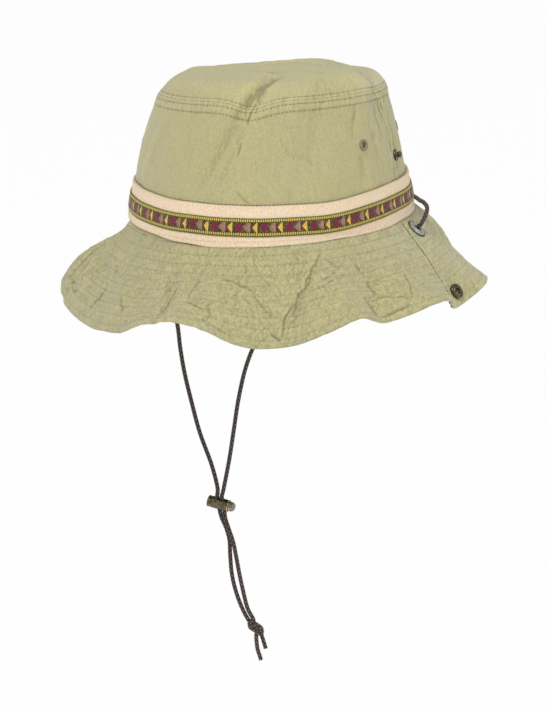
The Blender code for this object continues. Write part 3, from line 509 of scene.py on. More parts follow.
# Camera, at the photograph's angle, and the lights' own angles, softness and share of the key's strength
CAMERA_AZIMUTH = 17.0
CAMERA_ELEVATION = 14.3
CAMERA_ROLL = 2.4
CAMERA_AIM = Vector((-0.00275, -0.0015, -0.0895))
CAMERA_DISTANCE = 1.4
CAMERA_LENS = 115.0
CAMERA_SENSOR = 36.0
FLOOR_HEIGHT = -0.75
FLOOR_SIZE = 24.0
LIGHTS = {"key": (-12.0, 57.0, 20.0, 1.0), "fill": (75.0, 35.0, 50.0, 0.42)}


def colour_prop(name, about, default):
    limits = {"min": 0.0, "max": 1.0}
    return FloatVectorProperty(name=name, description=about, subtype="COLOR", default=default, **limits)


class ClothSettings(bpy.types.PropertyGroup):
    """The cotton and its stitching."""

    colour: colour_prop("Cotton", "Colour of the cotton", (0.470, 0.436, 0.231))
    thread: colour_prop("Thread", "Colour of the crown's topstitching", (0.230, 0.208, 0.098))
    sunk_thread: colour_prop(
        "Sunk thread",
        "Colour of the brim's topstitching, which lies deep in the cloth",
        (0.385, 0.354, 0.180),
    )
    stitch_length: FloatProperty(
        name="Stitch length",
        description="From one stitch's start to the next one's",
        subtype="DISTANCE",
        default=0.0023,
        min=0.0015,
        max=0.006,
    )
    crumple: FloatProperty(
        name="Crumple",
        description="How far the washed cloth's wrinkles stand",
        subtype="DISTANCE",
        default=0.0005,
        min=0.0,
        max=0.002,
    )


class BandSettings(bpy.types.PropertyGroup):
    """The webbing and the ribbon on it."""

    webbing: colour_prop("Webbing", "Colour of the webbing", (0.89, 0.73, 0.535))
    ground: colour_prop("Ribbon ground", "Colour of the ribbon behind its triangles", (0.045, 0.020, 0.007))
    olive: colour_prop("Ribbon checks", "Colour of the checks in the ribbon's ground", (0.215, 0.180, 0.035))
    edge: colour_prop("Ribbon edge", "Colour of the ribbon's two edges", (0.088, 0.092, 0.014))
    burgundy: colour_prop("Burgundy", "Colour of the broad triangles", (0.255, 0.008, 0.055))
    taupe: colour_prop("Taupe", "Colour of the middle triangles", (0.390, 0.215, 0.150))
    yellow: colour_prop("Yellow", "Colour of the narrow triangles and of the dots", (0.850, 0.560, 0.095))
    repeats: IntProperty(
        name="Repeats",
        description="How often the ribbon's pattern comes round the hat",
        default=40,
        min=10,
        max=80,
    )


class FittingSettings(bpy.types.PropertyGroup):
    """The metal fittings."""

    brass: colour_prop("Antique brass", "Colour of the snaps and the lock's barrel", (0.105, 0.088, 0.054))
    gunmetal: colour_prop("Gunmetal", "Colour of the lock's button", (0.240, 0.225, 0.195))
    steel: colour_prop("Pale steel", "Colour of the grommets", (0.48, 0.49, 0.43))
    sides: IntProperty(
        name="Sides", description="How many sides a turned fitting has", default=48, min=16, max=96
    )


class CordSettings(bpy.types.PropertyGroup):
    """The braided chin cord."""

    diameter: FloatProperty(
        name="Diameter",
        description="Thickness of the cord",
        subtype="DISTANCE",
        default=0.0025,
        min=0.0015,
        max=0.004,
    )
    dark: colour_prop("Dark yarn", "Colour of most of the braid", (0.014, 0.0075, 0.0062))
    fleck: colour_prop("Fleck yarn", "Colour of the braid's flecks", (0.235, 0.150, 0.118))


class StageSettings(bpy.types.PropertyGroup):
    """The floor and the light."""

    floor: colour_prop("Floor", "Colour of the floor", (0.96, 0.96, 0.96))
    key: FloatProperty(
        name="Key light", description="Strength of the main light", default=1.5, min=0.0, max=10.0
    )
    sky: FloatProperty(
        name="Sky", description="Strength of the light from all round", default=0.53, min=0.0, max=3.0
    )


# Surfaces, worked out for whole arrays of places at once


def table_curve(rows, key, name, at):
    """A column's values at places between a table's rows, on a smooth curve through them."""
    keys = np.array([getattr(row, key) for row in rows])
    values = np.array([getattr(row, name) for row in rows])
    before = np.maximum(np.arange(len(rows)) - 1, 0)
    after = np.minimum(np.arange(len(rows)) + 1, len(rows) - 1)
    rises = (values[after] - values[before]) / (keys[after] - keys[before])
    low = np.clip(np.searchsorted(keys, at, side="right") - 1, 0, len(rows) - 2)
    span = keys[low + 1] - keys[low]
    t = np.clip((at - keys[low]) / span, 0.0, 1.0)
    level = (1 + 2 * t) * (1 - t) ** 2 * values[low] + t * t * (3 - 2 * t) * values[low + 1]
    return level + span * (t * (1 - t) ** 2 * rises[low] - t * t * (1 - t) * rises[low + 1])


def turn_within(azimuth):
    return (azimuth + 180.0) % 360.0 - 180.0


def all_round(rows):
    before = [row._replace(azimuth=row.azimuth - 360.0) for row in rows[-2:]]
    after = [row._replace(azimuth=row.azimuth + 360.0) for row in rows[:2]]
    return [*before, *rows, *after]


BRIM_WAVES_ROUND = all_round(BRIM_WAVES)
BAND_SWAYS_ROUND = all_round(BAND_SWAYS)


def head_points(azimuth, out, height):
    """Points this far outside the head opening's oval, square to it."""
    angle = np.radians(azimuth)
    outward = np.stack([HEAD_HALF_LENGTH * np.sin(angle), -HEAD_HALF_WIDTH * np.cos(angle)], -1)
    outward /= np.linalg.norm(outward, axis=-1, keepdims=True)
    x = HEAD_HALF_WIDTH * np.sin(angle) + outward[..., 0] * out
    y = -HEAD_HALF_LENGTH * np.cos(angle) + outward[..., 1] * out
    return np.stack([x, y, height + 0.0 * angle], -1)


def crown_smooth(azimuth, along):
    """The crown's outer surface without its folds."""

    def size(name):
        return table_curve(CROWN_SECTIONS, "along", name, along)

    angle = np.radians(azimuth)
    height = size("height")
    y = -size("half_length") * np.cos(angle)
    above = np.maximum(height - TILT_START_HEIGHT, 0.0) / (CROWN_SECTIONS[-1].height - TILT_START_HEIGHT)
    tilt = TIP_TILT * above * y / HEAD_HALF_LENGTH
    return np.stack([size("half_width") * np.sin(angle) + size("shift_x"), y, height - tilt], -1)


def brim_smooth(azimuth, along):
    """The brim's upper surface without its folds, from the joint outwards."""
    part = np.maximum(along, 0.0) / BRIM_WIDTH
    turned = turn_within(azimuth - BRIM_LEAN * part * np.sin(np.radians(azimuth)))

    def size(name):
        return table_curve(BRIM_WAVES_ROUND, "azimuth", name, turned)

    belly = size("belly") * np.sin(np.pi * part**BRIM_BELLY_SKEW)
    root = size("root")
    angle = np.radians(root + (size("slope") - root) * part**BRIM_WAVE_START)
    out = along * np.cos(angle) + belly * np.sin(angle)
    drop = along * np.sin(angle) - belly * np.cos(angle)
    return head_points(turned, out, -GAP - drop)


def outward(smooth, azimuth, along):
    """The direction out of a smooth surface: away from the head on the crown, up and out on the brim."""
    across = smooth(azimuth + NORMAL_TURN, along) - smooth(azimuth - NORMAL_TURN, along)
    onward = smooth(azimuth, along + NORMAL_STEP) - smooth(azimuth, np.maximum(along - NORMAL_STEP, 0.0))
    normal = np.cross(across, onward)
    normal /= np.linalg.norm(normal, axis=-1, keepdims=True)
    return normal if smooth is crown_smooth else -normal


def fold_lift(folds, azimuth, along, radius):
    """How far the folds lift the cloth, radius being its distance from the hat's axis."""
    lift = np.zeros_like(radius)
    for fold in folds:
        part = (along - fold.along_low) / (fold.along_high - fold.along_low)
        middle = fold.azimuth_low + part * (fold.azimuth_high - fold.azimuth_low)
        across = np.radians(turn_within(azimuth - middle)) * radius / fold.half_width
        lift += fold.depth * np.sin(np.pi * np.clip(part, 0.0, 1.0)) * np.exp(-across * across)
    return lift


def crease_line(crease, radius):
    """The crease's own way over the cloth, as azimuths and distances along, at this radius of the hat."""
    start = np.array([math.radians(crease.azimuth_low) * radius, crease.along_low])
    end = np.array([math.radians(crease.azimuth_high) * radius, crease.along_high])
    length = np.linalg.norm(end - start)
    across = np.array([end[1] - start[1], start[0] - end[0]]) / length
    if across[0] < 0.0:
        across = -across
    share = np.linspace(0.0, 1.0, max(int(length / CREASE_STEP), 2) + 1)
    travel = share * length / (JAG_LENGTH * CREASE_STEP)
    spots = np.stack([travel, crease.azimuth_low + 0.0 * share, 0.0 * share], -1)
    aside = crease.bow * np.sin(np.pi * share) + 2.0 * crease.jag * noise_at(spots + 0.37)
    line = start + share[:, None] * (end - start) + aside[:, None] * across
    return np.degrees(line[:, 0] / radius), line[:, 1]


def crease_lift(creases, azimuth, along, radius):
    """How far the creases move the cloth, each measured from the nearest spot on its line."""
    lift = np.zeros_like(radius)
    for crease in creases:
        azimuths, alongs = crease_line(crease, float(radius.mean()))
        near = np.full(radius.shape, 1.0)
        side = np.zeros_like(radius)
        share = np.zeros_like(radius)
        count = len(azimuths) - 1
        for index in range(count):
            run = np.radians(azimuths[index + 1] - azimuths[index]) * radius
            rise = alongs[index + 1] - alongs[index]
            x = np.radians(turn_within(azimuth - azimuths[index])) * radius
            y = along - alongs[index]
            t = np.clip((x * run + y * rise) / (run * run + rise * rise), 0.0, 1.0)
            apart = np.hypot(x - t * run, y - t * rise)
            closer = apart < near
            near = np.where(closer, apart, near)
            side = np.where(closer, (run * y - rise * x) / np.hypot(run, rise), side)
            share = np.where(closer, (index + t) / count, share)
        fade = np.sqrt(np.maximum(np.sin(np.pi * share), 0.0))
        pinch = crease.depth * np.exp(-((near / crease.width) ** 2))
        over = crease.step * np.tanh(side / crease.width) * np.exp(-((near / CREASE_REACH) ** 2))
        lift += fade * (over - pinch)
    return lift


def noise_at(spots):
    """Smooth noise from -1 to 1 at each of an array of spots in space."""
    flat = spots.reshape(-1, 3).tolist()
    return np.array([noise.noise(spot) for spot in flat]).reshape(spots.shape[:-1])


def cloth_noise(azimuth, along, across, onward, seed, slant=0.0):
    """Noise with features of these sizes across and along the cloth, leaning by the slant."""
    angle = np.radians(azimuth) + slant * along / MEAN_RADIUS
    spots = [MEAN_RADIUS * np.sin(angle) / across, MEAN_RADIUS * np.cos(angle) / across, along / onward]
    return noise_at(np.stack(spots, -1) + 17.3 * np.asarray(seed)[..., None])


def wrinkles(field, sharpness):
    """Thin valleys along a noise field's zero line, from 0 to 1 at their bottoms."""
    return np.exp(-((field / sharpness) ** 2))


def near_row(level, row, width):
    return np.exp(-(((level - row) / width) ** 2))


def sag(azimuth):
    return -SAG_DEPTH * near_row(turn_within(azimuth - SAG_AZIMUTH), 0.0, SAG_WIDTH)


def band_along(azimuth, along):
    """Where the band's lines stand that would run level this far up the crown, with its small wander."""
    rise = table_curve(BAND_SWAYS_ROUND, "azimuth", "rise", turn_within(azimuth))
    above_edge = np.clip((along - WEBBING_BOTTOM) / (RIBBON_BOTTOM - WEBBING_BOTTOM), 0.0, 1.0)
    wander = BAND_WANDER * cloth_noise(azimuth, 0.0 * azimuth, 0.030, 0.030, 23)
    return along + np.where(rise > 0.0, rise, rise * above_edge) + wander


def seam_azimuth(part, seam, along):
    """Where a side seam of the crown, or a seam of the brim, stands at a distance along the cloth."""
    turns = CROWN_SEAM_TURNS if part == "crown" else BRIM_SEAM_TURNS
    return seam + table_curve(turns, "along", "turn", along)


def crown_relief(azimuth, along, radius, crumple):
    """How far the crown's creases, seams, stitch rows and wrinkles move its cloth."""

    def grain(*sizes):
        return cloth_noise(azimuth, along, *sizes)

    level = along - sag(azimuth)
    shoulder = 0.5 * (SHOULDER_ROWS[0] + SHOULDER_ROWS[2])
    half = 0.5 * (SHOULDER_ROWS[0] - SHOULDER_ROWS[2])
    pucker = grain(0.0035, 0.0070, 4) + 0.6 * grain(0.0020, 0.0040, 5)
    relief = crease_lift(CROWN_CREASES, azimuth, along, radius)
    relief += crumple * 0.9 * grain(0.018, 0.034, 1)
    relief += crumple * 0.30 * grain(0.006, 0.018, 2)
    edge_on = near_row(np.abs(turn_within(azimuth)), 73.0, 16.0)
    relief += crumple * 0.80 * edge_on * grain(0.0045, 0.0300, 7, 0.1)
    relief += 0.00010 * grain(0.0020, 0.0026, 8)
    top = np.clip((level - TIP_RIDGES_FROM) / 0.012, 0.0, 1.0)
    reach = CROWN_SECTIONS[-1].along - along
    turn = np.radians(azimuth)
    spots = np.stack([reach * np.sin(turn) / 0.045, reach * np.cos(turn) / 0.0055, 3.0 + 0.0 * reach], -1)
    relief += top * crumple * 0.60 * noise_at(spots)
    patch = np.clip(2.5 * grain(0.030, 0.030, 6), 0.0, 1.0)
    relief -= crumple * 0.6 * patch * wrinkles(grain(0.020, 0.045, 3, 0.3), 0.07)
    relief += SHOULDER_WELT / (1.0 + ((level - shoulder) / half) ** 6)
    for row in SHOULDER_ROWS:
        relief -= 0.0002 * near_row(level, row, ROW_WIDTH)
    relief -= 0.0003 * near_row(level, SHOULDER_ALONG, SEAM_WIDTH)
    relief += 0.00050 * pucker * near_row(level, shoulder, 0.0056)
    for seam in CROWN_SEAM_AZIMUTHS:
        apart = np.radians(turn_within(azimuth - seam_azimuth("crown", seam, along))) * radius
        below = np.clip((along - WEBBING_TOP + 0.002) / 0.004, 0.0, 1.0) * (level < SHOULDER_ALONG)
        welt = 0.0005 / (1.0 + (apart / 0.0042) ** 8) - 0.0004 * near_row(apart, 0.0, SEAM_LINE_WIDTH)
        for offset in SIDE_SEAM_OFFSETS:
            welt = welt - 0.0004 * near_row(apart, offset, SEAM_WIDTH)
        relief += below * (welt + 0.0008 * pucker * near_row(apart, 0.0, 0.0080))
    return relief, 0.0


def brim_relief(azimuth, along, radius, crumple):
    """How far the brim's creases and wrinkles move its cloth, and how its stitch rows pinch its two faces."""

    def grain(*sizes):
        return cloth_noise(azimuth, along, *sizes)

    out = crumple * np.clip(along / 0.012, 0.15, 1.0)
    relief = crease_lift(BRIM_CREASES, azimuth, along, radius)
    relief += out * 0.8 * grain(0.014, 0.016, 11)
    relief += out * 0.5 * grain(0.0060, 0.0080, 12, 0.5)
    relief += 0.00020 * grain(0.0020, 0.0028, 17)
    for seed, slant, size in ((13, 0.9, 0.016), (14, -0.7, 0.013), (15, 0.1, 0.009)):
        patch = np.clip(3.0 * grain(0.024, 0.024, seed + 6) + 0.4, 0.0, 1.0)
        relief -= out * 0.18 * patch * wrinkles(grain(0.6 * size, 1.5 * size, seed, slant), 0.16)
    level = (BRIM_EDGE_ROW - along) / BRIM_ROW_STEP
    nearest = np.clip(np.round(level), 0, BRIM_ROW_COUNT - 1)
    pinch = -0.00018 * near_row((level - nearest) * BRIM_ROW_STEP, 0.0, ROW_WIDTH)
    channel = np.floor(level)
    ripple = grain(0.0026, 0.0070, 31 + channel, 0.8 - 1.6 * (channel % 2.0))
    relief += 0.00036 * np.sin(np.pi * (level - channel)) * (ripple - 0.4 * wrinkles(ripple, 0.30))
    for seam in BRIM_SEAM_AZIMUTHS:
        apart = np.radians(turn_within(azimuth - seam_azimuth("brim", seam, along))) * radius
        relief += 0.0003 * near_row(apart, 0.0, 0.0035) - 0.0006 * near_row(apart, 0.0, SEAM_LINE_WIDTH)
    return relief, pinch


def clear_of_fittings(places, azimuth, along, radius, reach):
    """1 away from the fittings, and 0 at each, so that the cloth lies flat under it."""
    clear = np.ones_like(radius)
    for fitting_azimuth, fitting_along in places:
        apart = np.hypot(np.radians(turn_within(azimuth - fitting_azimuth)) * radius, along - fitting_along)
        clear *= 1.0 - np.exp(-((apart / reach) ** 4))
    return clear


CROWN_FITTINGS = [(azimuth, EYELET_ALONG) for azimuth in EYELET_AZIMUTHS.values()]
CROWN_FITTINGS += [(azimuth, STUD_ALONG) for azimuth in STUD_AZIMUTHS.values()]
BRIM_FITTINGS = [(azimuth, SOCKET_ALONG) for azimuth in SOCKET_AZIMUTHS.values()]
BRIM_FITTINGS += GROMMET_PLACES.values()
Surface = namedtuple("Surface", "smooth folds relief fittings reach")
SURFACES = {
    "crown": Surface(crown_smooth, CROWN_FOLDS, crown_relief, CROWN_FITTINGS, 0.0045),
    "brim": Surface(brim_smooth, BRIM_FOLDS, brim_relief, BRIM_FITTINGS, 0.0080),
}


def cloth_points(part, azimuth, along, off=0.0, under=False, plain=False):
    """Points this far off the crown's or the brim's face, or off its underside, with its fine relief.

    Plain cloth has its folds but no fine relief.
    """
    surface = SURFACES[part]
    base = surface.smooth(azimuth, along)
    radius = np.hypot(base[..., 0], base[..., 1])
    fine = np.zeros_like(radius)
    if not plain:
        relief, pinch = surface.relief(azimuth, along, radius, bpy.context.scene.hat_cloth.crumple)
        fine = relief - pinch if under else relief + pinch
        fine = fine * clear_of_fittings(surface.fittings, azimuth, along, radius, surface.reach)
    lift = fold_lift(surface.folds, azimuth, along, radius) + fine + off
    return base + outward(surface.smooth, azimuth, along) * lift[..., None], lift - off


def local_mean(values, reach):
    """Each value's mean over its neighbours within this many steps of a grid."""
    width = 2 * reach + 1
    for axis in (0, 1):
        margins = [(reach + 1, reach) if side == axis else (0, 0) for side in (0, 1)]
        sums = np.cumsum(np.pad(values, margins, mode="edge"), axis=axis)
        values = (sums[width:] - sums[:-width] if axis == 0 else sums[:, width:] - sums[:, :-width]) / width
    return values


def wear_and_shade_of(lift, reach=2):
    """Wear and painted shade from the folds and relief: up to 1.5 on crests, which wear pale, and down to
    -1.5 in creases and small valleys, painted dark as shade.
    """
    near = (lift - local_mean(lift, reach)) / WEAR_SHADE_DEPTH
    # Painted shade and light of the large folds: broad valleys darker, broad crests paler
    wide = (local_mean(lift, 2 * reach) - local_mean(lift, 11 * reach)) / BROAD_SHADE_DEPTH
    return np.clip(near + 0.35 * np.clip(wide, -0.60, 0.60), -1.5, 1.5)


def cloth_faces(part, azimuth, along, thickness):
    """The face's grid of points, the underside's grid at every second row and column, and the face's wear
    with its painted shade.
    """
    outer, fine = cloth_points(part, azimuth, along)
    inner = cloth_points(part, azimuth[::2, ::2], along[::2, ::2], -thickness, under=True)[0]
    return outer, inner, wear_and_shade_of(fine)


def fitting_place(part, azimuth, along):
    """The point on the cloth where a fitting sits, and the direction out of the cloth there."""

    def folded(azimuth, along):
        return Vector(cloth_points(part, np.array(azimuth), np.array(along), plain=True)[0])

    across = folded(azimuth + FITTING_TURN, along) - folded(azimuth - FITTING_TURN, along)
    onward = folded(azimuth, along + FITTING_STEP) - folded(azimuth, along - FITTING_STEP)
    normal = across.cross(onward).normalized()
    return folded(azimuth, along), normal if part == "crown" else -normal


def standing(point, direction):
    """The frame of a thing that stands at a point with its Z along a direction."""
    return Matrix.Translation(point) @ direction.to_track_quat("Z", "Y").to_matrix().to_4x4()


# Meshes


def add_piece(name, mesh, body, slot, materials, replaced=()):
    """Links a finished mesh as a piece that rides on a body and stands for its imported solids."""
    piece = bpy.data.objects.new(name, mesh)
    bpy.context.scene.collection.objects.link(piece)
    for material in materials:
        mesh.materials.append(material)
    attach(piece, body)
    if replaced:
        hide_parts(*replaced)
    return piece


def mesh_from_bmesh(shape, name, crease_degrees=40.0, mesh=None):
    bmesh.ops.recalc_face_normals(shape, faces=shape.faces)
    mesh = mesh or bpy.data.meshes.new(name)
    shape.to_mesh(mesh)
    shape.free()
    mesh.shade_smooth()
    mesh.set_sharp_from_angle(angle=math.radians(crease_degrees))
    return mesh


def distances(line):
    """How far along a line each of its points lies."""
    return np.concatenate([[0.0], np.cumsum(np.linalg.norm(np.diff(line, axis=0), axis=1))])


def arc_lengths(points):
    """How far each column of a grid of points lies from the first, along its middle row."""
    return distances(points[len(points) // 2])


def finer(line):
    """A line of points with one more halfway between each two."""
    result = np.repeat(line, 2, axis=0)[:-1]
    result[1::2] = 0.5 * (line[:-1] + line[1:])
    return result


def cloth_mesh(name, outer, inner, places, rub, ring=False, centre=None, bulge=0.0):
    """A closed sheet between a face's grid of points and an underside's grid at half its fineness.

    A ring's last column repeats its first, and a centre's two points close its last row. The edge at the
    first row bulges by this much. Places are the flat cloth's own coordinates.
    """
    points, wear, faces = [], [], []

    def add_points(grid, grid_wear_and_shade):
        start = sum(map(len, points))
        points.append(grid.reshape(-1, 3))
        wear.append(grid_wear_and_shade.ravel())
        return start

    def add_grid(grid, grid_wear_and_shade):
        kept = slice(None, -1) if ring else slice(None)
        start = add_points(grid[:, kept], grid_wear_and_shade[:, kept])
        width = grid[:, kept].shape[1]
        return start + np.arange(len(grid))[:, None] * width + np.arange(grid.shape[1])[None, :] % width

    def add_faces(corners, spots, material=0):
        index = np.stack([corner.ravel() for corner in corners], -1)
        faces.append((index, np.stack([spot.reshape(-1, 2) for spot in spots], 1), material))

    def square(grid):
        return [grid[:-1, :-1], grid[:-1, 1:], grid[1:, 1:], grid[1:, :-1]]

    def fan(line, coarse, spots, material=0):
        """Faces between a line of points and one at half its fineness."""
        corners = [line[:-1:2], line[1::2], line[2::2], coarse[1:], coarse[:-1]]
        add_faces(corners, [spots[:-1:2], spots[1::2], spots[2::2], spots[2::2], spots[:-1:2]], material)

    face = add_grid(outer, rub)
    under = add_grid(inner, rub[::2, ::2])
    add_faces(square(face), square(places))
    add_faces(square(under)[::-1], square(places[::2, ::2])[::-1], 1)
    for end in (0,) if centre else (0, -1):
        beyond = outer[end] - outer[1 if end == 0 else -2]
        beyond /= np.linalg.norm(beyond, axis=-1, keepdims=True)
        middle = 0.5 * (outer[end] + finer(inner[end])) + beyond * (bulge if end == 0 else 0.0)
        edge = add_grid(middle[None], rub[end][None] + (0.6 if bulge and end == 0 else 0.0))[0]
        line, spots = face[end], places[end]
        add_faces([line[:-1], line[1:], edge[1:], edge[:-1]], [spots[:-1], spots[1:], spots[1:], spots[:-1]])
        fan(edge, under[end], spots, 1)
        if not ring:
            for side in (0, -1):
                corners = [face[end, side], edge[side], under[end, side]]
                add_faces([corner.reshape(1) for corner in corners], [spots[side]] * 3)
    if not ring:
        for side in (0, -1):
            fan(face[:, side], under[:, side], places[:, side])
    if centre:
        ends = (face[-1], places[-1]), (under[-1], places[-1, ::2])
        for material, (line, spots) in enumerate(ends):
            middle = np.full(len(line) - 1, add_points(centre[material][None], np.zeros(1)))
            heart = np.broadcast_to(places[-1].mean(axis=0), (len(line) - 1, 2))
            add_faces([line[:-1], line[1:], middle], [spots[:-1], spots[1:], heart], material)

    mesh = bpy.data.meshes.new(name)
    corners = [face for index, *_ in faces for face in index.tolist()]
    mesh.from_pydata(np.concatenate(points).tolist(), [], corners)
    spots = np.concatenate([spots.reshape(-1) for _, spots, _ in faces])
    mesh.uv_layers.new(name=CLOTH_UV).data.foreach_set("uv", spots.astype(np.float32))
    materials = np.concatenate([np.full(len(index), material) for index, _, material in faces])
    mesh.polygons.foreach_set("material_index", materials.astype(np.int32))
    worn = mesh.attributes.new(WEAR_SHADE_AND_FLECK, "FLOAT", "POINT")
    worn.data.foreach_set("value", np.concatenate(wear).astype(np.float32))
    shape = bmesh.new()
    shape.from_mesh(mesh)
    bmesh.ops.triangulate(shape, faces=[face for face in shape.faces if len(face.verts) > 4])
    return mesh_from_bmesh(shape, name, 60.0, mesh)


def cylinder(radius, height, sides):
    shape = bmesh.new()
    bmesh.ops.create_cone(shape, cap_ends=True, segments=sides, radius1=radius, radius2=radius, depth=height)
    return shape


def cut(mesh, cutters):
    """The mesh with these shapes cut out of it, each where its own frame stands."""
    things = [bpy.data.objects.new("being_cut", mesh)]
    for shape, place in cutters:
        cutter = bpy.data.objects.new("cutter", bpy.data.meshes.new("cutter"))
        shape.to_mesh(cutter.data)
        shape.free()
        cutter.matrix_world = place
        boolean = things[0].modifiers.new("cut", "BOOLEAN")
        boolean.solver = "EXACT"
        boolean.object = cutter
        things.append(cutter)
    for thing in things:
        bpy.context.scene.collection.objects.link(thing)
    bpy.context.view_layer.update()
    result = bpy.data.meshes.new_from_object(things[0].evaluated_get(bpy.context.evaluated_depsgraph_get()))
    for thing in things:
        bpy.data.objects.remove(thing)
    result.name = mesh.name
    return result


def turned_mesh(name, outline, sides, ripple=None):
    """A round mesh about Z from a closed outline, or one that starts and ends on the axis."""
    ring = min(radius for radius, _ in outline) > 0.0
    shape = bmesh.new()
    uv = shape.loops.layers.uv.new(CLOTH_UV)
    grid = []
    for index, (radius, height) in enumerate(outline):
        if radius == 0.0:
            grid.append([shape.verts.new((0.0, 0.0, height))] * sides)
            continue
        line = []
        for side in range(sides):
            turn = 2.0 * math.pi * side / sides
            wide, high = ripple(index, turn) if ripple else (0.0, 0.0)
            reach = radius + wide
            line.append(shape.verts.new((reach * math.cos(turn), reach * math.sin(turn), height + high)))
        grid.append(line)
    pairs = list(zip(grid, grid[1:])) + ([(grid[-1], grid[0])] if ring else [])
    for row, (upper, lower) in enumerate(pairs):
        for side in range(sides):
            onward = (side + 1) % sides
            corners = (upper[side], lower[side], lower[onward], upper[onward])
            kept = [vert for index, vert in enumerate(corners) if vert not in corners[:index]]
            for loop in shape.faces.new(kept).loops:
                turn = math.atan2(loop.vert.co.y, loop.vert.co.x) / (2.0 * math.pi) % 1.0
                loop[uv].uv = (turn, row / len(pairs))
    return mesh_from_bmesh(shape, name)


def rounded(outline, radius, steps=3):
    """The outline with each corner rounded, apart from those on the axis."""
    points = [Vector(point) for point in outline]
    result = []
    for index, point in enumerate(points):
        if point.x == 0.0:
            result.append(tuple(point))
            continue
        into, out = points[index - 1] - point, points[(index + 1) % len(points)] - point
        cut_back = min(radius, 0.45 * into.length, 0.45 * out.length)
        start, end = point + into.normalized() * cut_back, point + out.normalized() * cut_back
        for step in range(steps + 1):
            t = step / steps
            result.append(tuple((1 - t) ** 2 * start + 2 * t * (1 - t) * point + t * t * end))
    return result


# Finishes


def scaled(colour, *amounts):
    """A colour with its channels scaled, all by one amount or each by its own, and none over 1."""
    return tuple(min(channel * amount, 1.0) for channel, amount in zip(colour, amounts * 3))


def operation(name, reflected=False):
    """A method that adds one Math node, with this socket as its first value or, reflected, as its last."""

    def method(socket, *others):
        return socket.finish.math(name, *((*others, socket) if reflected else (socket, *others)))

    return method


class Socket:
    """An output socket that takes part in Python expressions, each of which adds its Math nodes."""

    def __init__(self, finish, output):
        self.finish = finish
        self.output = output

    def wave(self, length):
        """A sine from -1 to 1 along this value, with this wavelength."""
        return self.finish.math("SINE", self * (2.0 * math.pi / length))

    __add__ = operation("ADD")
    __radd__ = operation("ADD", True)
    __sub__ = operation("SUBTRACT")
    __rsub__ = operation("SUBTRACT", True)
    __mul__ = operation("MULTIPLY")
    __rmul__ = operation("MULTIPLY", True)
    __truediv__ = operation("DIVIDE")
    __mod__ = operation("FLOORED_MODULO")
    __lt__ = operation("LESS_THAN")
    __gt__ = operation("GREATER_THAN")
    __abs__ = operation("ABSOLUTE")
    floor = operation("FLOOR")
    least = operation("MINIMUM")


class Finish:
    """A material about one Principled shader, and the methods that add its nodes."""

    def __init__(self, name, roughness=0.8, **values):
        self.material = bpy.data.materials.new(name)
        self.material.use_nodes = True
        self.tree = self.material.node_tree
        self.shader = self.tree.nodes["Principled BSDF"]
        self.shader.inputs["Roughness"].default_value = roughness
        for socket, value in values.items():
            self.shader.inputs[socket.replace("_", " ")].default_value = value

    def feed(self, entry, value):
        """Links a socket, or sets a number or a colour, which a colour's own entry takes with its alpha."""
        if isinstance(value, Socket):
            self.tree.links.new(value.output, entry)
        elif hasattr(value, "__len__"):
            entry.default_value = (*value, 1.0)[: len(entry.default_value)]
        else:
            entry.default_value = value

    def node(self, kind, settings=None, values=None, output=0):
        """Any node: its type, its settings, then the values or links of its sockets."""
        made = self.tree.nodes.new(kind)
        for name, setting in (settings or {}).items():
            setattr(made, name, setting)
        for name, value in (values or {}).items():
            self.feed(made.inputs[name], value)
        return Socket(self, made.outputs[output])

    def math(self, operation, *values):
        return self.node("ShaderNodeMath", {"operation": operation}, dict(enumerate(values)))

    def mix(self, factor, first, second):
        """A colour between two, by a factor from 0 to 1."""
        return self.node("ShaderNodeMix", {"data_type": "RGBA"}, {0: factor, 6: first, 7: second}, 2)

    def tint(self, colour, amount):
        """A colour made lighter or darker, amount being 1 where it stays."""
        return self.node("ShaderNodeVectorMath", {"operation": "SCALE"}, {0: colour, "Scale": amount})

    def ramp(self, value, low, high):
        """0 below low and 1 above high, smoothly."""
        settings = {"interpolation_type": "SMOOTHSTEP"}
        return self.node("ShaderNodeMapRange", settings, {"Value": value, "From Min": low, "From Max": high})

    def cloth_place(self):
        """How far across and along the flat cloth, in metres."""
        place = self.node("ShaderNodeUVMap", {"uv_map": CLOTH_UV})
        across = self.node("ShaderNodeSeparateXYZ", None, {0: place}, "X")
        return across, Socket(self, across.output.node.outputs["Y"])

    # The cloth's wear with its painted shade, and the braid's flecks
    def worn(self):
        return self.node("ShaderNodeAttribute", {"attribute_name": WEAR_SHADE_AND_FLECK}, None, "Fac")

    def vector(self, x, y, z=0.0):
        return self.node("ShaderNodeCombineXYZ", None, {0: x, 1: y, 2: z})

    def noise(self, place, scale, detail=3.0, roughness=0.55):
        values = {"Vector": place, "Scale": scale, "Detail": detail, "Roughness": roughness}
        return self.node("ShaderNodeTexNoise", None, values)

    def grain(self, scale, detail=3.0, roughness=0.55):
        """Noise through the solid, from its own place in space."""
        place = self.node("ShaderNodeNewGeometry", None, None, "Position")
        return self.noise(place, scale, detail, roughness)

    def colour(self, value):
        self.feed(self.shader.inputs["Base Color"], value)

    def rough(self, value):
        self.feed(self.shader.inputs["Roughness"], value)

    def bump(self, height, distance, strength=1.0):
        values = {"Height": height, "Distance": distance, "Strength": strength}
        self.feed(self.shader.inputs["Normal"], self.node("ShaderNodeBump", None, values))


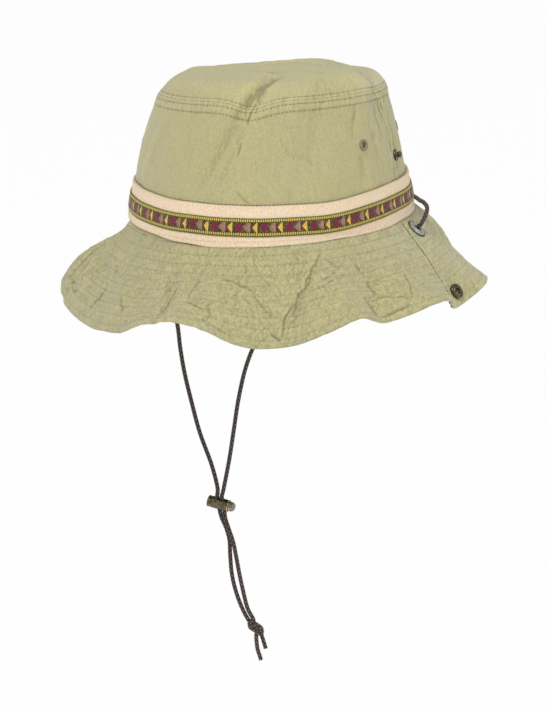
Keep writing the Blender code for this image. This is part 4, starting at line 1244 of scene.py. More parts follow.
def cotton_finish(name, colour, light, crumple):
    """Washed cotton: a plain weave with slubs and fine crumpling, rubbed crests, and painted shade in its
    creases, valleys and thin wrinkle lines.
    """
    finish = Finish(name, 0.88, Sheen_Weight=0.40, Sheen_Roughness=0.40, Specular_IOR_Level=0.25)
    u, v = finish.cloth_place()
    weave = u.wave(COTTON_THREAD) * v.wave(COTTON_THREAD)
    warp_slub = finish.noise(finish.vector(u * 1400.0, v * 60.0), 1.0, 2.0)
    weft_slub = finish.noise(finish.vector(u * 60.0, v * 1400.0), 1.0, 2.0)
    wash = finish.grain(38.0, 4.0)
    mottle = finish.grain(230.0, 3.0, 0.6)
    crumb = finish.grain(1000.0, 3.0, 0.65)
    one_way = finish.noise(finish.vector(u * 330.0 + v * 170.0, v * 140.0), 1.0, 3.0, 0.6)
    other_way = finish.noise(finish.vector(u * 330.0 - v * 170.0, v * 140.0 + 9.0), 1.0, 3.0, 0.6)
    patch = finish.ramp(finish.grain(60.0, 2.0), 0.40, 0.60)
    first = 1.0 - finish.ramp(abs(one_way - 0.5), 0.0, 0.045)
    second = 1.0 - finish.ramp(abs(other_way - 0.5), 0.0, 0.045)
    lines = first * patch + second * (1.0 - patch)
    rub = finish.worn()
    crest = finish.ramp(rub, 0.0, 1.2)
    painted_hollow_shade = finish.ramp(rub * -1.0, 0.0, 1.3)
    shade = 1.0 + (warp_slub - 0.5) * 0.26 + (weft_slub - 0.5) * 0.12
    shade = shade + (wash - 0.5) * 0.08 + (mottle - 0.5) * 0.06 + weave * 0.02
    # Painted shade darkens the creases and small valleys; worn crests are paler
    shade = shade * (1.06 - painted_hollow_shade * 0.34 + crest * 0.10 + (crumb - 0.5) * 0.60)
    # Painted shade along the thin wrinkle lines, where the bump cuts its grooves
    shade = shade * (1.0 - lines * 0.20 * crumple)
    warm = finish.mix(finish.ramp(wash, 0.35, 0.65), colour, scaled(colour, 1.015, 0.995, 0.95))
    finish.colour(finish.tint(warm, shade * light))
    height = weave * 0.35 + warp_slub + weft_slub * 0.7 + mottle * 0.8 + crumb * 1.2 - lines * 2.0 * crumple
    finish.bump(height, 0.00014, 0.9)
    return finish.material


def thread_finish(name, colour):
    """Sewing thread with a slight twist."""
    finish = Finish(name, 0.65, Sheen_Weight=0.1)
    finish.colour(finish.tint(colour, 0.85 + finish.grain(900.0, 2.0) * 0.30))
    return finish.material


def webbing_finish(band):
    """Cotton webbing: fine slanting ribs, flecks of paler and pinker yarn, and edges painted darker as shade.
    """
    finish = Finish("Cream webbing", 0.85, Sheen_Weight=0.15, Specular_IOR_Level=0.25)
    u, v = finish.cloth_place()
    wale = u.wave(WEBBING_RIB) * 0.5 + 0.5
    turn = (v + (u / WEBBING_RIB).floor() % 2.0 * WEBBING_RIB * 0.5).wave(WEBBING_RIB) * 0.5 + 0.5
    weave = wale * 0.6 + turn * 0.4
    fleck = finish.noise(finish.vector(u, v), 900.0, 1.0)
    other = finish.noise(finish.vector(u, v, 0.3), 900.0, 1.0)
    pink = scaled(band.webbing, 1.01, 0.80, 0.80)
    pale = scaled(band.webbing, 1.02, 1.05, 1.10)
    straw = scaled(band.webbing, 1.0, 0.96, 0.64)
    yarn = finish.mix(finish.ramp(fleck, 0.38, 0.50), pink, pale)
    yarn = finish.mix(finish.ramp(other, 0.54, 0.62), yarn, straw)
    # Painted shade along both edges of the webbing
    edge = finish.ramp(abs(v - 0.5 * (WEBBING_BOTTOM + WEBBING_TOP)), 0.0103, 0.0112)
    soft = finish.grain(90.0, 3.0)
    finish.colour(finish.tint(yarn, (0.86 + weave * 0.16 + (soft - 0.5) * 0.08) * (1.0 - edge * 0.18)))
    finish.bump(weave, 0.00016, 0.9)
    return finish.material


def ribbon_finish(band, repeat):
    """A woven ribbon: rows of triangles that point one way between dotted borders and plain edges."""
    finish = Finish("Jacquard ribbon", 0.62, Sheen_Weight=0.1, Specular_IOR_Level=0.35)
    u, v = finish.cloth_place()
    across = (u / RIBBON_WARP).floor()
    onward = (v / RIBBON_WEFT).floor()
    x = (across * RIBBON_WARP - RIBBON_SHIFT) % repeat
    y = abs(onward * RIBBON_WEFT + 0.5 * RIBBON_WEFT - 0.5 * (RIBBON_BOTTOM + RIBBON_TOP))
    scale = repeat / RIBBON_REPEAT
    uneven = finish.noise(finish.vector(across * 0.71, onward * 0.83), 1.0, 1.0)
    check = ((across + onward) % 2.0) * (uneven > 0.42)
    coarse = ((across * 0.5).floor() + (onward * 0.5).floor()) % 2.0

    def shape(row):
        """1 inside a shape, whose point faces the pattern's start."""
        rise = ((x - row.start * scale) * (row.half_height / (row.point * scale))).least(row.half_height)
        return (y < rise) * (x > row.start * scale) * (x < (row.start + row.point + row.block) * scale)

    def shaded(colour, amount):
        """A colour with every other thread darker or paler."""
        return finish.mix(check, colour, scaled(colour, amount))

    burgundy, taupe, notch, yellow = map(shape, (RIBBON_BURGUNDY, RIBBON_TAUPE, RIBBON_NOTCH, RIBBON_YELLOW))
    colour = finish.mix(coarse * (uneven > 0.5), band.ground, band.olive)
    colour = finish.mix(burgundy, colour, shaded(band.burgundy, 0.55))
    colour = finish.mix(taupe, colour, shaded(band.taupe, 0.50))
    colour = finish.mix(notch * coarse, colour, scaled(band.taupe, 1.25, 1.05, 1.15))
    colour = finish.mix(yellow, colour, shaded(band.yellow, 0.72))
    border = (y > RIBBON_GROUND) * (y < RIBBON_BORDER)
    dots = (u % RIBBON_DOT) < 0.58 * RIBBON_DOT
    colour = finish.mix(border, colour, finish.mix(dots, band.edge, scaled(band.yellow, 0.86, 1.02, 1.1)))
    edge = y > RIBBON_BORDER
    colour = finish.mix(edge, colour, shaded(band.edge, 1.7))
    floats = u.wave(RIBBON_WARP) * 0.5 + v.wave(RIBBON_WEFT) * 0.5
    finish.colour(finish.tint(colour, 0.82 + floats * 0.10 + finish.grain(700.0, 2.0) * 0.36))
    raised = burgundy + taupe + yellow + border * dots
    finish.bump(floats * 0.5 + raised * 0.8 + edge * 0.6, 0.00018, 0.9)
    return finish.material


def braid_finish(cord):
    """Braided cord: dark yarn with paler flecks where one carrier crosses over."""
    finish = Finish("Brown braid", 0.6, Sheen_Weight=0.15)
    fibre = finish.grain(1600.0, 2.0)
    yarn = finish.mix(finish.ramp(finish.worn(), 0.25, 0.55), cord.dark, cord.fleck)
    finish.colour(finish.tint(yarn, 0.7 + fibre * 0.6))
    finish.bump(fibre, 0.00010, 0.7)
    return finish.material


def metal_finish(name, colour, roughness, worn):
    """Plated metal: with fine scratches and brighter worn spots."""
    finish = Finish(name, roughness, Metallic=1.0)
    patina = finish.grain(420.0, 4.0, 0.6)
    scratch = finish.grain(2100.0, 2.0, 0.5)
    wear = finish.ramp(patina, 0.42, 0.66)
    finish.colour(finish.tint(finish.mix(wear, colour, scaled(colour, worn)), 0.85 + scratch * 0.30))
    finish.rough(roughness + (scratch - 0.5) * 0.25 - wear * 0.06)
    finish.bump(patina * 0.6 + scratch * 0.4, 0.00006, 0.8)
    return finish.material


# Crown, brim and band


def cotton_pair(part):
    """The cotton's face, and its paler underside, more crumpled on the quilted brim."""
    title, crumple = {"crown": ("Sage cotton", 0.25), "brim": ("Quilted cotton", 1.0)}[part]
    colour = bpy.context.scene.hat_cloth.colour
    return [
        bpy.data.materials.get(name) or cotton_finish(name, colour, light, crumple)
        for name, light in ((title, 1.0), (f"{title} underside", 1.06))
    ]


def panel_places(part, alongs, back):
    """A grid of places on a front or back panel between its two seams."""
    first, last = (1, 0) if back else (0, 1)
    seams = CROWN_SEAM_AZIMUTHS if part == "crown" else BRIM_SEAM_AZIMUTHS
    half_gap = math.degrees(0.5 * SEAM_GAPS[part] / HEAD_HALF_WIDTH)
    start = seam_azimuth(part, seams[first], alongs) + half_gap
    end = seam_azimuth(part, seams[last] + (360.0 if back else 0.0), alongs) - half_gap
    count = 2 * int(0.5 * np.radians(end - start).mean() * MEAN_RADIUS / PANEL_SPACING[part][back]) + 1
    share = np.linspace(0.0, 1.0, count)[None, :]
    azimuth = start[:, None] * (1.0 - share) + end[:, None] * share
    return azimuth, np.broadcast_to(alongs[:, None], azimuth.shape)


def cotton_panel(part, side, places, holes, thickness, bulge):
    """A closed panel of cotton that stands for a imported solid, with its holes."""
    azimuth, along = places
    outer, inner, rub = cloth_faces(part, azimuth, along, thickness)
    arcs = arc_lengths(outer)
    name = f"{part}_{side}_cloth"
    flat_places = np.stack([np.broadcast_to(arcs, along.shape), along], -1)
    mesh = cloth_mesh(name, outer, inner, flat_places, rub, bulge=bulge)
    for material in cotton_pair(part):
        mesh.materials.append(material)
    cutters = []
    for *place, radius in holes:
        point, normal = fitting_place(part, *place)
        cutters.append((cylinder(radius, HOLE_DEPTH, HOLE_SIDES), standing(point, normal)))
    if cutters:
        mesh = cut(mesh, cutters)
    node = f"crown_side_{side}" if part == "crown" else f"brim_{side}"
    piece = add_piece(name, mesh, HAT_BODY, "sage_cotton", (), [node])


class HAT_OT_crown(bpy.types.Operator):
    """Make the crown's two side panels and its tip"""

    bl_idname = "hat.crown"
    bl_label = "Crown"

    def execute(self, context):
        alongs = np.linspace(0.0, SHOULDER_ALONG - SHOULDER_GAP, CROWN_PANEL_ROWS)
        for back, side in enumerate(("front", "back")):
            azimuth, along = panel_places("crown", alongs, back)
            along = along + sag(azimuth) * along / SHOULDER_ALONG
            holes = [
                (eyelet, EYELET_ALONG, EYELET_THREAD_RADIUS + GAP)
                for place, eyelet in EYELET_AZIMUTHS.items()
                if place.startswith(side)
            ]
            places = azimuth, along
            cotton_panel("crown", side, places, holes, CROWN_CLOTH, 0.0)
        azimuth, share = np.meshgrid(np.linspace(0.0, 360.0, TIP_COLUMNS), np.linspace(0.0, 1.0, TIP_ROWS))
        first = SHOULDER_ALONG + SHOULDER_GAP + sag(azimuth)
        along = first + share * (TIP_CENTRE_ALONG - first)
        outer, inner, rub = cloth_faces("crown", azimuth, along, CROWN_CLOTH)
        centre = outer[-1, :-1].mean(axis=0), inner[-1, :-1].mean(axis=0)
        mesh = cloth_mesh("crown_tip_cloth", outer, inner, outer[..., :2].copy(), rub, True, centre)
        cotton = cotton_pair("crown")
        piece = add_piece("crown_tip_cloth", mesh, HAT_BODY, "sage_cotton", cotton, ["crown_tip"])
        return {"FINISHED"}


class HAT_OT_brim(bpy.types.Operator):
    """Make the front and back halves of the brim"""

    bl_idname = "hat.brim"
    bl_label = "Brim"

    def execute(self, context):
        alongs = np.linspace(BRIM_WIDTH, 0.0, BRIM_PANEL_ROWS)
        grommets = [(*place, GROMMET_BARREL_RADIUS + GAP) for place in GROMMET_PLACES.values()]
        for back, side in enumerate(("front", "back")):
            places, holes = panel_places("brim", alongs, back), grommets if back else []
            cotton_panel("brim", side, places, holes, BRIM_CLOTH, BRIM_EDGE_BULGE)
        return {"FINISHED"}


class HAT_OT_band(bpy.types.Operator):
    """Make the webbing and the ribbon round the crown's foot"""

    bl_idname = "hat.band"
    bl_label = "Band"

    def execute(self, context):
        band = context.scene.hat_band
        for name, weave in WEAVES.items():
            alongs = np.linspace(weave.bottom, weave.top, weave.rows)
            azimuth, along = np.meshgrid(np.linspace(-180.0, 180.0, BAND_COLUMNS), alongs)
            pull = 0.00020 * cloth_noise(azimuth, along, 0.012, 0.012, 21)
            pull = pull + 0.00010 * cloth_noise(azimuth, along, 0.004, 0.004, 22)
            fall = np.zeros_like(along)
            level = band_along(azimuth, along)
            if name == "ribbon_weave":
                inset = np.minimum(along - weave.bottom, weave.top - along)
                pull = pull - 0.0003 * near_row(inset, 0.0, 0.0008)
            else:
                for row in (*RIBBON_SEAMS, *WEBBING_SEAMS):
                    pull = pull - 0.00005 * near_row(along, row, ROW_WIDTH)
                hang = np.clip(1.0 - (level - along) / 0.0015, 0.0, 1.0)
                fall = near_row(along, weave.bottom, 0.0022) * hang
            faces = []
            for lift, drop in zip((weave.off + weave.thickness, weave.off), WEBBING_FALLS):
                points, _ = cloth_points("crown", azimuth, level, lift, plain=True)
                points += outward(crown_smooth, azimuth, along) * pull[..., None]
                points[..., 2] -= drop * fall
                faces.append(points)
            outer, inner = faces
            arcs = arc_lengths(outer)
            places = np.stack([np.broadcast_to(arcs - arcs[len(arcs) // 2], along.shape), along], -1)
            mesh = cloth_mesh(name, outer, inner[::2, ::2], places, 0.0 * along, ring=True)
            if name == "ribbon_weave":
                material = ribbon_finish(band, arcs[-1] / band.repeats)
            else:
                material = webbing_finish(band)
            piece = add_piece(name, mesh, HAT_BODY, weave.slot, [material, material], [weave.node])
        return {"FINISHED"}


# Stitching


def stitch_mesh(name, runs, length, radius, gap=STITCH_GAP):
    """Stitches along runs of points, each with the direction out of the cloth there."""
    turns = 2.0 * np.pi * np.arange(STITCH_SIDES) / STITCH_SIDES
    shares = np.array([-0.50, -0.30, 0.30, 0.50])
    rises = np.array([-0.00026, 0.00010, 0.00010, -0.00026]) + 0.00004
    sizes = radius * np.array([0.55, 1.0, 1.0, 0.55])
    blocks = []
    for points, normals in runs:
        travel = distances(points)
        count = max(int(travel[-1] / length), 1)
        pitch = travel[-1] / count
        middles = (np.arange(count) + 0.5) * pitch
        spots = middles[:, None] + shares * (pitch - gap)
        centres = np.stack([np.interp(spots, travel, points[:, axis]) for axis in range(3)], -1)
        up = np.stack([np.interp(middles, travel, normals[:, axis]) for axis in range(3)], -1)
        up /= np.linalg.norm(up, axis=-1, keepdims=True)
        across = np.cross(up, centres[:, -1] - centres[:, 0])
        across /= np.linalg.norm(across, axis=-1, keepdims=True)
        hearts = centres + up[:, None] * rises[:, None]
        ring = across[:, None, None] * np.cos(turns)[:, None] + up[:, None, None] * np.sin(turns)[:, None]
        blocks.append(hearts[:, :, None] + ring * sizes[None, :, None, None])
    blocks = np.concatenate(blocks)
    index = np.arange(blocks[..., 0].size).reshape(blocks.shape[:-1])
    onward = np.roll(index, -1, axis=2)
    walls = np.stack([index[:, :-1], onward[:, :-1], onward[:, 1:], index[:, 1:]], -1).reshape(-1, 4)
    ends = np.concatenate([index[:, 0, ::-1], index[:, -1]])
    mesh = bpy.data.meshes.new(name)
    mesh.from_pydata(blocks.reshape(-1, 3).tolist(), [], walls.tolist() + ends.tolist())
    mesh.shade_smooth()
    mesh.set_sharp_from_angle(angle=math.radians(80.0))
    return mesh


def run_on(part, azimuth, along, off=0.0, under=False):
    """A run of stitching along the cloth's face, or its underside."""
    points, _ = cloth_points(part, azimuth, along, off, under)
    normals = outward(SURFACES[part].smooth, azimuth, along)
    return points, -normals if under else normals


class HAT_OT_stitching(bpy.types.Operator):
    """Make the topstitching on the crown, the brim and the band"""

    bl_idname = "hat.stitching"
    bl_label = "Stitching"

    def execute(self, context):
        cloth = context.scene.hat_cloth
        azimuth = np.linspace(-180.0, 180.0, ROW_POINTS)

        def sew(name, runs, thread, radius, stretch=1.0, gap=STITCH_GAP, slot="sage_cotton"):
            mesh = stitch_mesh(name, runs, cloth.stitch_length * stretch, radius, gap)
            add_piece(name, mesh, HAT_BODY, slot, [thread])

        runs = [run_on("crown", azimuth, row + sag(azimuth)) for row in SHOULDER_ROWS]
        along = np.linspace(WEBBING_TOP + 0.001, SHOULDER_ROWS[2] - 0.0006, SEAM_POINTS)
        for seam in CROWN_SEAM_AZIMUTHS:
            path = seam_azimuth("crown", seam, along)
            radius = np.linalg.norm(crown_smooth(path, along)[:, :2], axis=-1)
            for offset in SIDE_SEAM_OFFSETS:
                runs.append(run_on("crown", path + np.degrees(offset / radius), along))
        # A row of dark thread just above the webbing's top edge, which also paints the shadow line where the
        # webbing meets the crown
        runs.append(run_on("crown", azimuth, band_along(azimuth, WEBBING_TOP + 0.0006), 0.0002))
        sew("crown_topstitch", runs, thread_finish("Sage thread", cloth.thread), CROWN_THREAD)
        sunk = thread_finish("Sunk thread", cloth.sunk_thread)
        faces = ("brim_topstitch", 0.0, False), ("brim_underside_topstitch", -BRIM_CLOTH, True)
        for name, off, under in faces:
            runs = [run_on("brim", azimuth, np.full(azimuth.shape, row), off, under) for row in BRIM_ROWS]
            sew(name, runs, sunk, BRIM_THREAD, 1.05)
        # Thread sewn in the ditch of the brim's seams, near black: the thread, and painted shade of the ditch
        along = np.linspace(0.003, BRIM_WIDTH - 0.0006, SEAM_POINTS)
        runs = []
        for seam in BRIM_SEAM_AZIMUTHS:
            path = seam_azimuth("brim", seam, along)
            runs += [run_on("brim", path, along, 0.0002), run_on("brim", path, along, -BRIM_CLOTH, True)]
        deep = thread_finish("Deep thread", scaled(cloth.thread, 0.30))
        sew("brim_seam_stitch", runs, deep, SEAM_THREAD, 1.0, SEAM_STITCH_GAP)
        runs = []
        for row in WEBBING_SEAMS:
            level = band_along(azimuth, row)
            points, _ = cloth_points("crown", azimuth, level, 0.0016, plain=True)
            runs.append((points, outward(crown_smooth, azimuth, level)))
        cream = thread_finish("Cream thread", CREAM_THREAD)
        sew("webbing_stitch", runs, cream, WEBBING_THREAD, slot="cream_webbing")
        return {"FINISHED"}


# Fittings


def set_fitting(name, part, place, outline, sides, slot, material, replaced=(), ripple=None):
    """A turned fitting on the crown or the brim, its axis along the cloth's normal."""
    mesh = turned_mesh(name, outline, sides, ripple)
    mesh.transform(standing(*fitting_place(part, *place)))
    add_piece(name, mesh, HAT_BODY, slot, [material], replaced)


def antique_brass():
    settings = bpy.context.scene.hat_fittings
    return bpy.data.materials.get("Antique brass") or metal_finish("Antique brass", settings.brass, 0.34, 2.2)


class HAT_OT_eyelets(bpy.types.Operator):
    """Make the stitched vent eyelets"""

    bl_idname = "hat.eyelets"
    bl_label = "Vent eyelets"

    def execute(self, context):
        material = thread_finish("Eyelet thread", scaled(context.scene.hat_cloth.colour, 0.52))
        middle = 0.5 * (EYELET_RADIUS + EYELET_THREAD_RADIUS)
        reach = 0.5 * (EYELET_RADIUS - EYELET_THREAD_RADIUS)
        angles = [2.0 * math.pi * step / EYELET_STEPS for step in range(EYELET_STEPS)]
        outline = []
        for angle in angles:
            rise = EYELET_RISE * math.sin(angle)
            outline.append((middle + reach * math.cos(angle), rise if rise > 0 else rise - CROWN_CLOTH))

        def ripple(index, turn):
            swell = EYELET_SWELL * abs(math.sin(0.5 * EYELET_THREADS * turn))
            return swell * math.cos(angles[index]), swell * math.sin(angles[index])

        for side, azimuth in EYELET_AZIMUTHS.items():
            name, place, node = f"vent_ring_{side}", (azimuth, EYELET_ALONG), f"vent_eyelet_{side}"
            sides = EYELET_THREADS * 6
            set_fitting(name, "crown", place, outline, sides, "eyelet_thread", material, [node], ripple)
        return {"FINISHED"}


class HAT_OT_snaps(bpy.types.Operator):
    """Make the press studs on the crown and their sockets on the brim"""

    bl_idname = "hat.snaps"
    bl_label = "Snaps"

    def execute(self, context):
        sides = context.scene.hat_fittings.sides
        for name, part, azimuths, along, outline in (
            ("stud", "crown", STUD_AZIMUTHS, STUD_ALONG, rounded(STUD, 0.0003)),
            ("socket", "brim", SOCKET_AZIMUTHS, SOCKET_ALONG, rounded(SOCKET, 0.0003)),
        ):
            for side, azimuth in azimuths.items():
                title, place, node = f"{name}_{side}", (azimuth, along), f"snap_{name}_{side}"
                set_fitting(title, part, place, outline, sides, "antique_brass", antique_brass(), [node])
        return {"FINISHED"}


class HAT_OT_grommets(bpy.types.Operator):
    """Make the brim's two grommets"""

    bl_idname = "hat.grommets"
    bl_label = "Grommets"

    def execute(self, context):
        settings = context.scene.hat_fittings
        steel = metal_finish("Pale steel", settings.steel, 0.30, 1.35)
        # A dark ring round each grommet, painted shadow under the flange's edge
        rim_shadow = metal_finish("Tarnished rim", RIM_SHADOW_COLOUR, 0.50, 1.6)
        for side, place in GROMMET_PLACES.items():
            for name, outline, material, replaced in (
                ("grommet", rounded(GROMMET, 0.0003), steel, [f"brim_grommet_{side}"]),
                ("grommet_rim", rounded(GROMMET_RIM, 0.0002), rim_shadow, []),
            ):
                title = f"{name}_{side}"
                set_fitting(title, "brim", place, outline, settings.sides, "pale_steel", material, replaced)
        return {"FINISHED"}


# Chin cord


def curve_through(points, fineness):
    """Points on the smooth curve through given ones, whose first and last only set its ends."""
    result = []
    for index in range(1, len(points) - 2):
        a, b, c, d = points[index - 1 : index + 3]
        for step in range(fineness):
            t = step / fineness
            squared, cubed = 2 * a - 5 * b + 4 * c - d, 3 * b - a - 3 * c + d
            result.append(0.5 * (2 * b + (c - a) * t + squared * t**2 + cubed * t**3))
    return [points[0], *result, points[-2], points[-1]]


def evenly(points, spacing):
    """The same line with its points this far apart, and its length."""
    line = np.array([tuple(point) for point in points])
    travel = distances(line)
    spots = np.linspace(0.0, travel[-1], int(travel[-1] / spacing) + 2)
    return np.stack([np.interp(spots, travel, line[:, axis]) for axis in range(3)], -1), travel[-1]


def braid_mesh(name, line, radius):
    """A braided cord along a line: two families of yarns that wind opposite ways, over and under."""
    shape = bmesh.new()
    worn = shape.verts.layers.float.new(WEAR_SHADE_AND_FLECK)
    angles = 2.0 * np.pi * np.arange(BRAID_SIDES) / BRAID_SIDES
    tangents = np.gradient(line, axis=0)
    tangents /= np.linalg.norm(tangents, axis=1, keepdims=True)
    side_way = Vector(tangents[0]).orthogonal().normalized()
    rings = []
    for point, tangent, along in zip(line, tangents, distances(line)):
        forward = Vector(tangent)
        side_way = (side_way - forward * side_way.dot(forward)).normalized()
        up_way = forward.cross(side_way)
        turns = BRAID_CARRIERS * angles / (2.0 * np.pi)
        one = turns + along / BRAID_PITCH
        other = turns - along / BRAID_PITCH
        first = np.sin(np.pi * (one % 1.0))
        second = np.sin(np.pi * (other % 1.0))
        over = (np.floor(one) + np.floor(other)) % 2.0 < 1.0
        height = np.where(over, first * (0.65 + 0.35 * second), second * (0.65 + 0.35 * first))
        fleck = np.where(over, first, 0.0) * ((np.floor(one) % 2.0) < 1.0)
        ring = []
        for angle, out, shade in zip(angles, radius * (0.94 + 0.18 * height), fleck):
            way = side_way * math.cos(angle) + up_way * math.sin(angle)
            vert = shape.verts.new(Vector(point) + way * out)
            vert[worn] = shade
            ring.append(vert)
        rings.append(ring)
    for near, far in zip(rings, rings[1:]):
        for k in range(BRAID_SIDES):
            onward = (k + 1) % BRAID_SIDES
            shape.faces.new((near[k], near[onward], far[onward], far[k]))
    for ring in (rings[0], rings[-1]):
        middle = shape.verts.new(sum((vert.co for vert in ring), Vector()) / BRAID_SIDES)
        for k in range(BRAID_SIDES):
            shape.faces.new((ring[k], ring[(k + 1) % BRAID_SIDES], middle))
    return mesh_from_bmesh(shape, name, 80.0)


def add_cord(name, route, replaced):
    """A braided cord along its route, of the cord's diameter."""
    settings = bpy.context.scene.hat_cord
    line, length = evenly(curve_through(route, CORD_FINENESS), CORD_SPACING)
    mesh = braid_mesh(name, line, 0.5 * settings.diameter)
    material = bpy.data.materials.get("Brown braid") or braid_finish(settings)
    piece = add_piece(name, mesh, HAT_BODY, "brown_braid", [material], replaced)


def knot_turns(side):
    """One strand's way through the knot."""
    lean = math.radians(KNOT_LEAN)
    right = Vector((math.cos(lean), 0.0, -math.sin(lean)))
    up = Vector((math.sin(lean), 0.0, math.cos(lean)))
    front = Vector((0.0, -1.0, 0.0))
    shift = KNOT_SHIFTS[side]
    return [
        KNOT_CENTRE + KNOT_SCALE * (right * (x + shift) + up * (y - shift) + front * (z + shift))
        for x, y, z in KNOT_TURNS
    ]


class HAT_OT_chin_cord(bpy.types.Operator):
    """Make the chin cord: its stretch round the back, and its two strands down to the knot and their ends"""

    bl_idname = "hat.chin_cord"
    bl_label = "Chin cord"

    def execute(self, context):
        tops, normals = {}, {}
        for side, place in GROMMET_PLACES.items():
            point, normals[side] = fitting_place("brim", *place)
            tops[side] = point - normals[side] * 0.5 * (BRIM_CLOTH + GAP)
        rises = (GAP, GAP + CORD_LEAD)
        leads = {side: [tops[side] + normals[side] * rise for rise in rises] for side in tops}
        round_crown = [Vector(head_points(*spot)) for spot in CORD_BACK]
        back = [*leads["left"], *reversed(round_crown), *reversed(leads["right"])]
        add_cord("cord_round_back", back, ["chin_cord_back"])
        for side, offset in (("left", -STRAND_OFFSET), ("right", STRAND_OFFSET)):
            lead = [tops[side], tops[side] - normals[side] * CORD_LEAD]
            hanging = [Vector((x, CORD_PLANE_Y, z)) for x, z in STRANDS[side]]
            middle = LOCK_CENTRE + Vector((offset, 0.0, 0.0))
            through = [middle + Vector((-STRAND_LEAN * rise, 0.0, rise)) for rise in STRAND_RISES]
            tail, free = map(Vector, TAILS[side]), map(Vector, ENDS[side])
            route = [*lead, *hanging, *through, *tail, *knot_turns(side), *free]
            replaced = [f"chin_cord_{side}", f"cord_end_{side}"] + (["cord_knot"] if side == "left" else [])
            add_cord(f"cord_strand_{side}", route, replaced)
        return {"FINISHED"}


def lock_matrix():
    """The lock's own frame: Z along its axis towards the button, and X down along the strands."""
    tilt = math.radians(LOCK_TILT)
    axis = Vector((math.cos(tilt), 0.0, -math.sin(tilt)))
    down = Vector((-math.sin(tilt), 0.0, -math.cos(tilt)))
    return Matrix.Translation(LOCK_CENTRE) @ Matrix((down, axis.cross(down), axis)).transposed().to_4x4()


def cut_slot(mesh, half_length, along):
    """The turned mesh with the strands' slot, which has round ends, cut across it."""
    shape = cylinder(SLOT_HALF_WIDTH, SLOT_DEPTH, SLOT_SIDES)
    for vert in shape.verts:
        vert.co.x += math.copysign(half_length - SLOT_HALF_WIDTH, vert.co.x)
    return cut(mesh, [(shape, Matrix.Translation((0.0, 0.0, along)) @ Matrix.Rotation(math.pi / 2, 4, "Y"))])


class HAT_OT_cord_lock(bpy.types.Operator):
    """Make the cord lock's slotted barrel and its sprung button"""

    bl_idname = "hat.cord_lock"
    bl_label = "Cord lock"

    def execute(self, context):
        def hammered(index, turn):
            return 0.00006 * math.sin(9.0 * turn + 2.1 * index) * math.sin(4.0 * turn - 1.3 * index), 0.0

        def add_part(name, mesh, body, slot, material, replaced=()):
            mesh.transform(lock_matrix())
            mesh.materials.clear()
            add_piece(name, mesh, body, slot, [material], replaced)

        mesh = turned_mesh("lock_barrel", rounded(LOCK_BARREL, 0.0002), LOCK_SIDES, hammered)
        mesh = cut_slot(mesh, BARREL_SLOT, 0.0)
        add_part("lock_barrel", mesh, HAT_BODY, "antique_brass", antique_brass(), ["cord_lock_barrel"])
        mesh = turned_mesh("lock_button", rounded(LOCK_BUTTON, 0.0003), LOCK_SIDES)
        mesh = cut_slot(mesh, BUTTON_SLOT + 0.5 * LOCK_TRAVEL, 0.5 * LOCK_TRAVEL)
        steel = metal_finish("Gunmetal", context.scene.hat_fittings.gunmetal, 0.30, 1.6)
        add_part("lock_button", mesh, BUTTON_BODY, "gunmetal", steel, ["cord_lock_button"])
        radius, height = LOCK_BARREL_MOUTH
        turns = np.linspace(0.0, 5.5, 8)
        bead = [(radius + LOCK_BEAD * math.cos(t), height + LOCK_BEAD * math.sin(t)) for t in turns]
        gold = metal_finish("Worn brass rim", RIM_BRASS, 0.25, 1.3)
        add_part("lock_rim", turned_mesh("lock_rim", bead, 48), HAT_BODY, "antique_brass", gold)
        return {"FINISHED"}


# Stage


def add_to_stage(name, data):
    """A light, a camera or a mesh as a new object of the scene."""
    thing = bpy.data.objects.new(name, data)
    bpy.context.scene.collection.objects.link(thing)
    return thing


def away_from(azimuth, elevation):
    """The direction at this azimuth from the front and this elevation above level, both in radians."""
    level = math.cos(elevation)
    return Vector((math.sin(azimuth) * level, -math.cos(azimuth) * level, math.sin(elevation)))


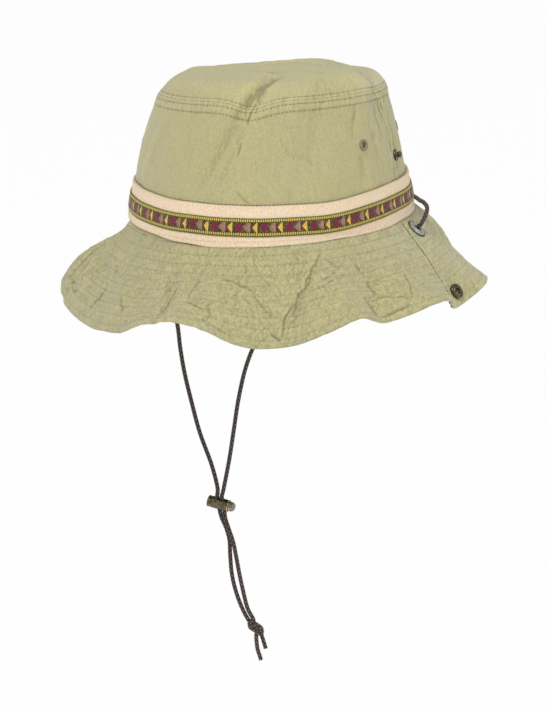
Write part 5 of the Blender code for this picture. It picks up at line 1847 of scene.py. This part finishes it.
class HAT_OT_stage(bpy.types.Operator):
    """Make the floor, the lights and the camera"""

    bl_idname = "hat.stage"
    bl_label = "Stage"

    def execute(self, context):
        settings = context.scene.hat_stage
        shape = bmesh.new()
        bmesh.ops.create_grid(shape, x_segments=4, y_segments=4, size=0.5 * FLOOR_SIZE)
        mesh = bpy.data.meshes.new("floor")
        shape.to_mesh(mesh)
        shape.free()
        floor = add_to_stage("floor", mesh)
        floor.location.z = FLOOR_HEIGHT
        pale = Finish("Pale floor", 0.9)
        pale.colour(settings.floor)
        mesh.materials.append(pale.material)
        world = bpy.data.worlds.new("Soft studio")
        world.use_nodes = True
        background = world.node_tree.nodes["Background"].inputs
        background["Color"].default_value = (1.0, 1.0, 1.0, 1.0)
        background["Strength"].default_value = settings.sky
        context.scene.world = world
        for name, (azimuth, elevation, softness, share) in LIGHTS.items():
            data = bpy.data.lights.new(name, "SUN")
            data.energy = settings.key * share
            data.angle = math.radians(softness)
            lamp = add_to_stage(name, data)
            away = away_from(math.radians(azimuth), math.radians(elevation))
            lamp.rotation_mode = "QUATERNION"
            lamp.rotation_quaternion = away.to_track_quat("Z", "Y")
        context.scene.view_settings.view_transform = "Standard"
        context.scene.view_settings.look = "None"
        self.place_camera(context)
        return {"FINISHED"}

    def place_camera(self, context):
        """The camera stands back from its aim, turned a little about its own axis."""
        azimuth, elevation, roll = map(math.radians, (CAMERA_AZIMUTH, CAMERA_ELEVATION, CAMERA_ROLL))
        toward = away_from(azimuth, elevation)
        level = Vector((math.cos(azimuth), math.sin(azimuth), 0.0))
        upright = toward.cross(level)
        right = level * math.cos(roll) - upright * math.sin(roll)
        up = upright * math.cos(roll) + level * math.sin(roll)
        data = bpy.data.cameras.new("photo_camera")
        data.lens = CAMERA_LENS
        data.sensor_width = CAMERA_SENSOR
        camera = add_to_stage("photo_camera", data)
        place = Matrix((right, up, toward)).transposed().to_4x4()
        place.translation = CAMERA_AIM + toward * CAMERA_DISTANCE
        camera.matrix_world = place
        context.scene.camera = camera


SETTINGS = {
    "hat_cloth": ClothSettings,
    "hat_band": BandSettings,
    "hat_fittings": FittingSettings,
    "hat_cord": CordSettings,
    "hat_stage": StageSettings,
}
OPERATORS = (
    HAT_OT_stage,
    HAT_OT_crown,
    HAT_OT_brim,
    HAT_OT_band,
    HAT_OT_stitching,
    HAT_OT_eyelets,
    HAT_OT_snaps,
    HAT_OT_grommets,
    HAT_OT_cord_lock,
    HAT_OT_chin_cord,
)


class HAT_PT_panel(bpy.types.Panel):
    """The hat's sizes and colours, and the operators that make its pieces"""

    bl_idname = "HAT_PT_panel"
    bl_label = "Safari Bucket Hat"
    bl_space_type = "VIEW_3D"
    bl_region_type = "UI"
    bl_category = "Hat"

    def draw(self, context):
        for name, group in SETTINGS.items():
            box = self.layout.box()
            for setting in group.__annotations__:
                box.prop(getattr(context.scene, name), setting)
        for operator in OPERATORS:
            self.layout.operator(operator.bl_idname)


CLASSES = (*SETTINGS.values(), *OPERATORS, HAT_PT_panel)


def register():
    for kind in CLASSES:
        bpy.utils.register_class(kind)
    for name, group in SETTINGS.items():
        setattr(bpy.types.Scene, name, PointerProperty(type=group))


def unregister():
    for name in SETTINGS:
        delattr(bpy.types.Scene, name)
    for kind in reversed(CLASSES):
        bpy.utils.unregister_class(kind)


def main():
    register()
    for operator in OPERATORS:
        group, name = operator.bl_idname.split(".")
        getattr(getattr(bpy.ops, group), name)()


if __name__ == "__main__":
    main()
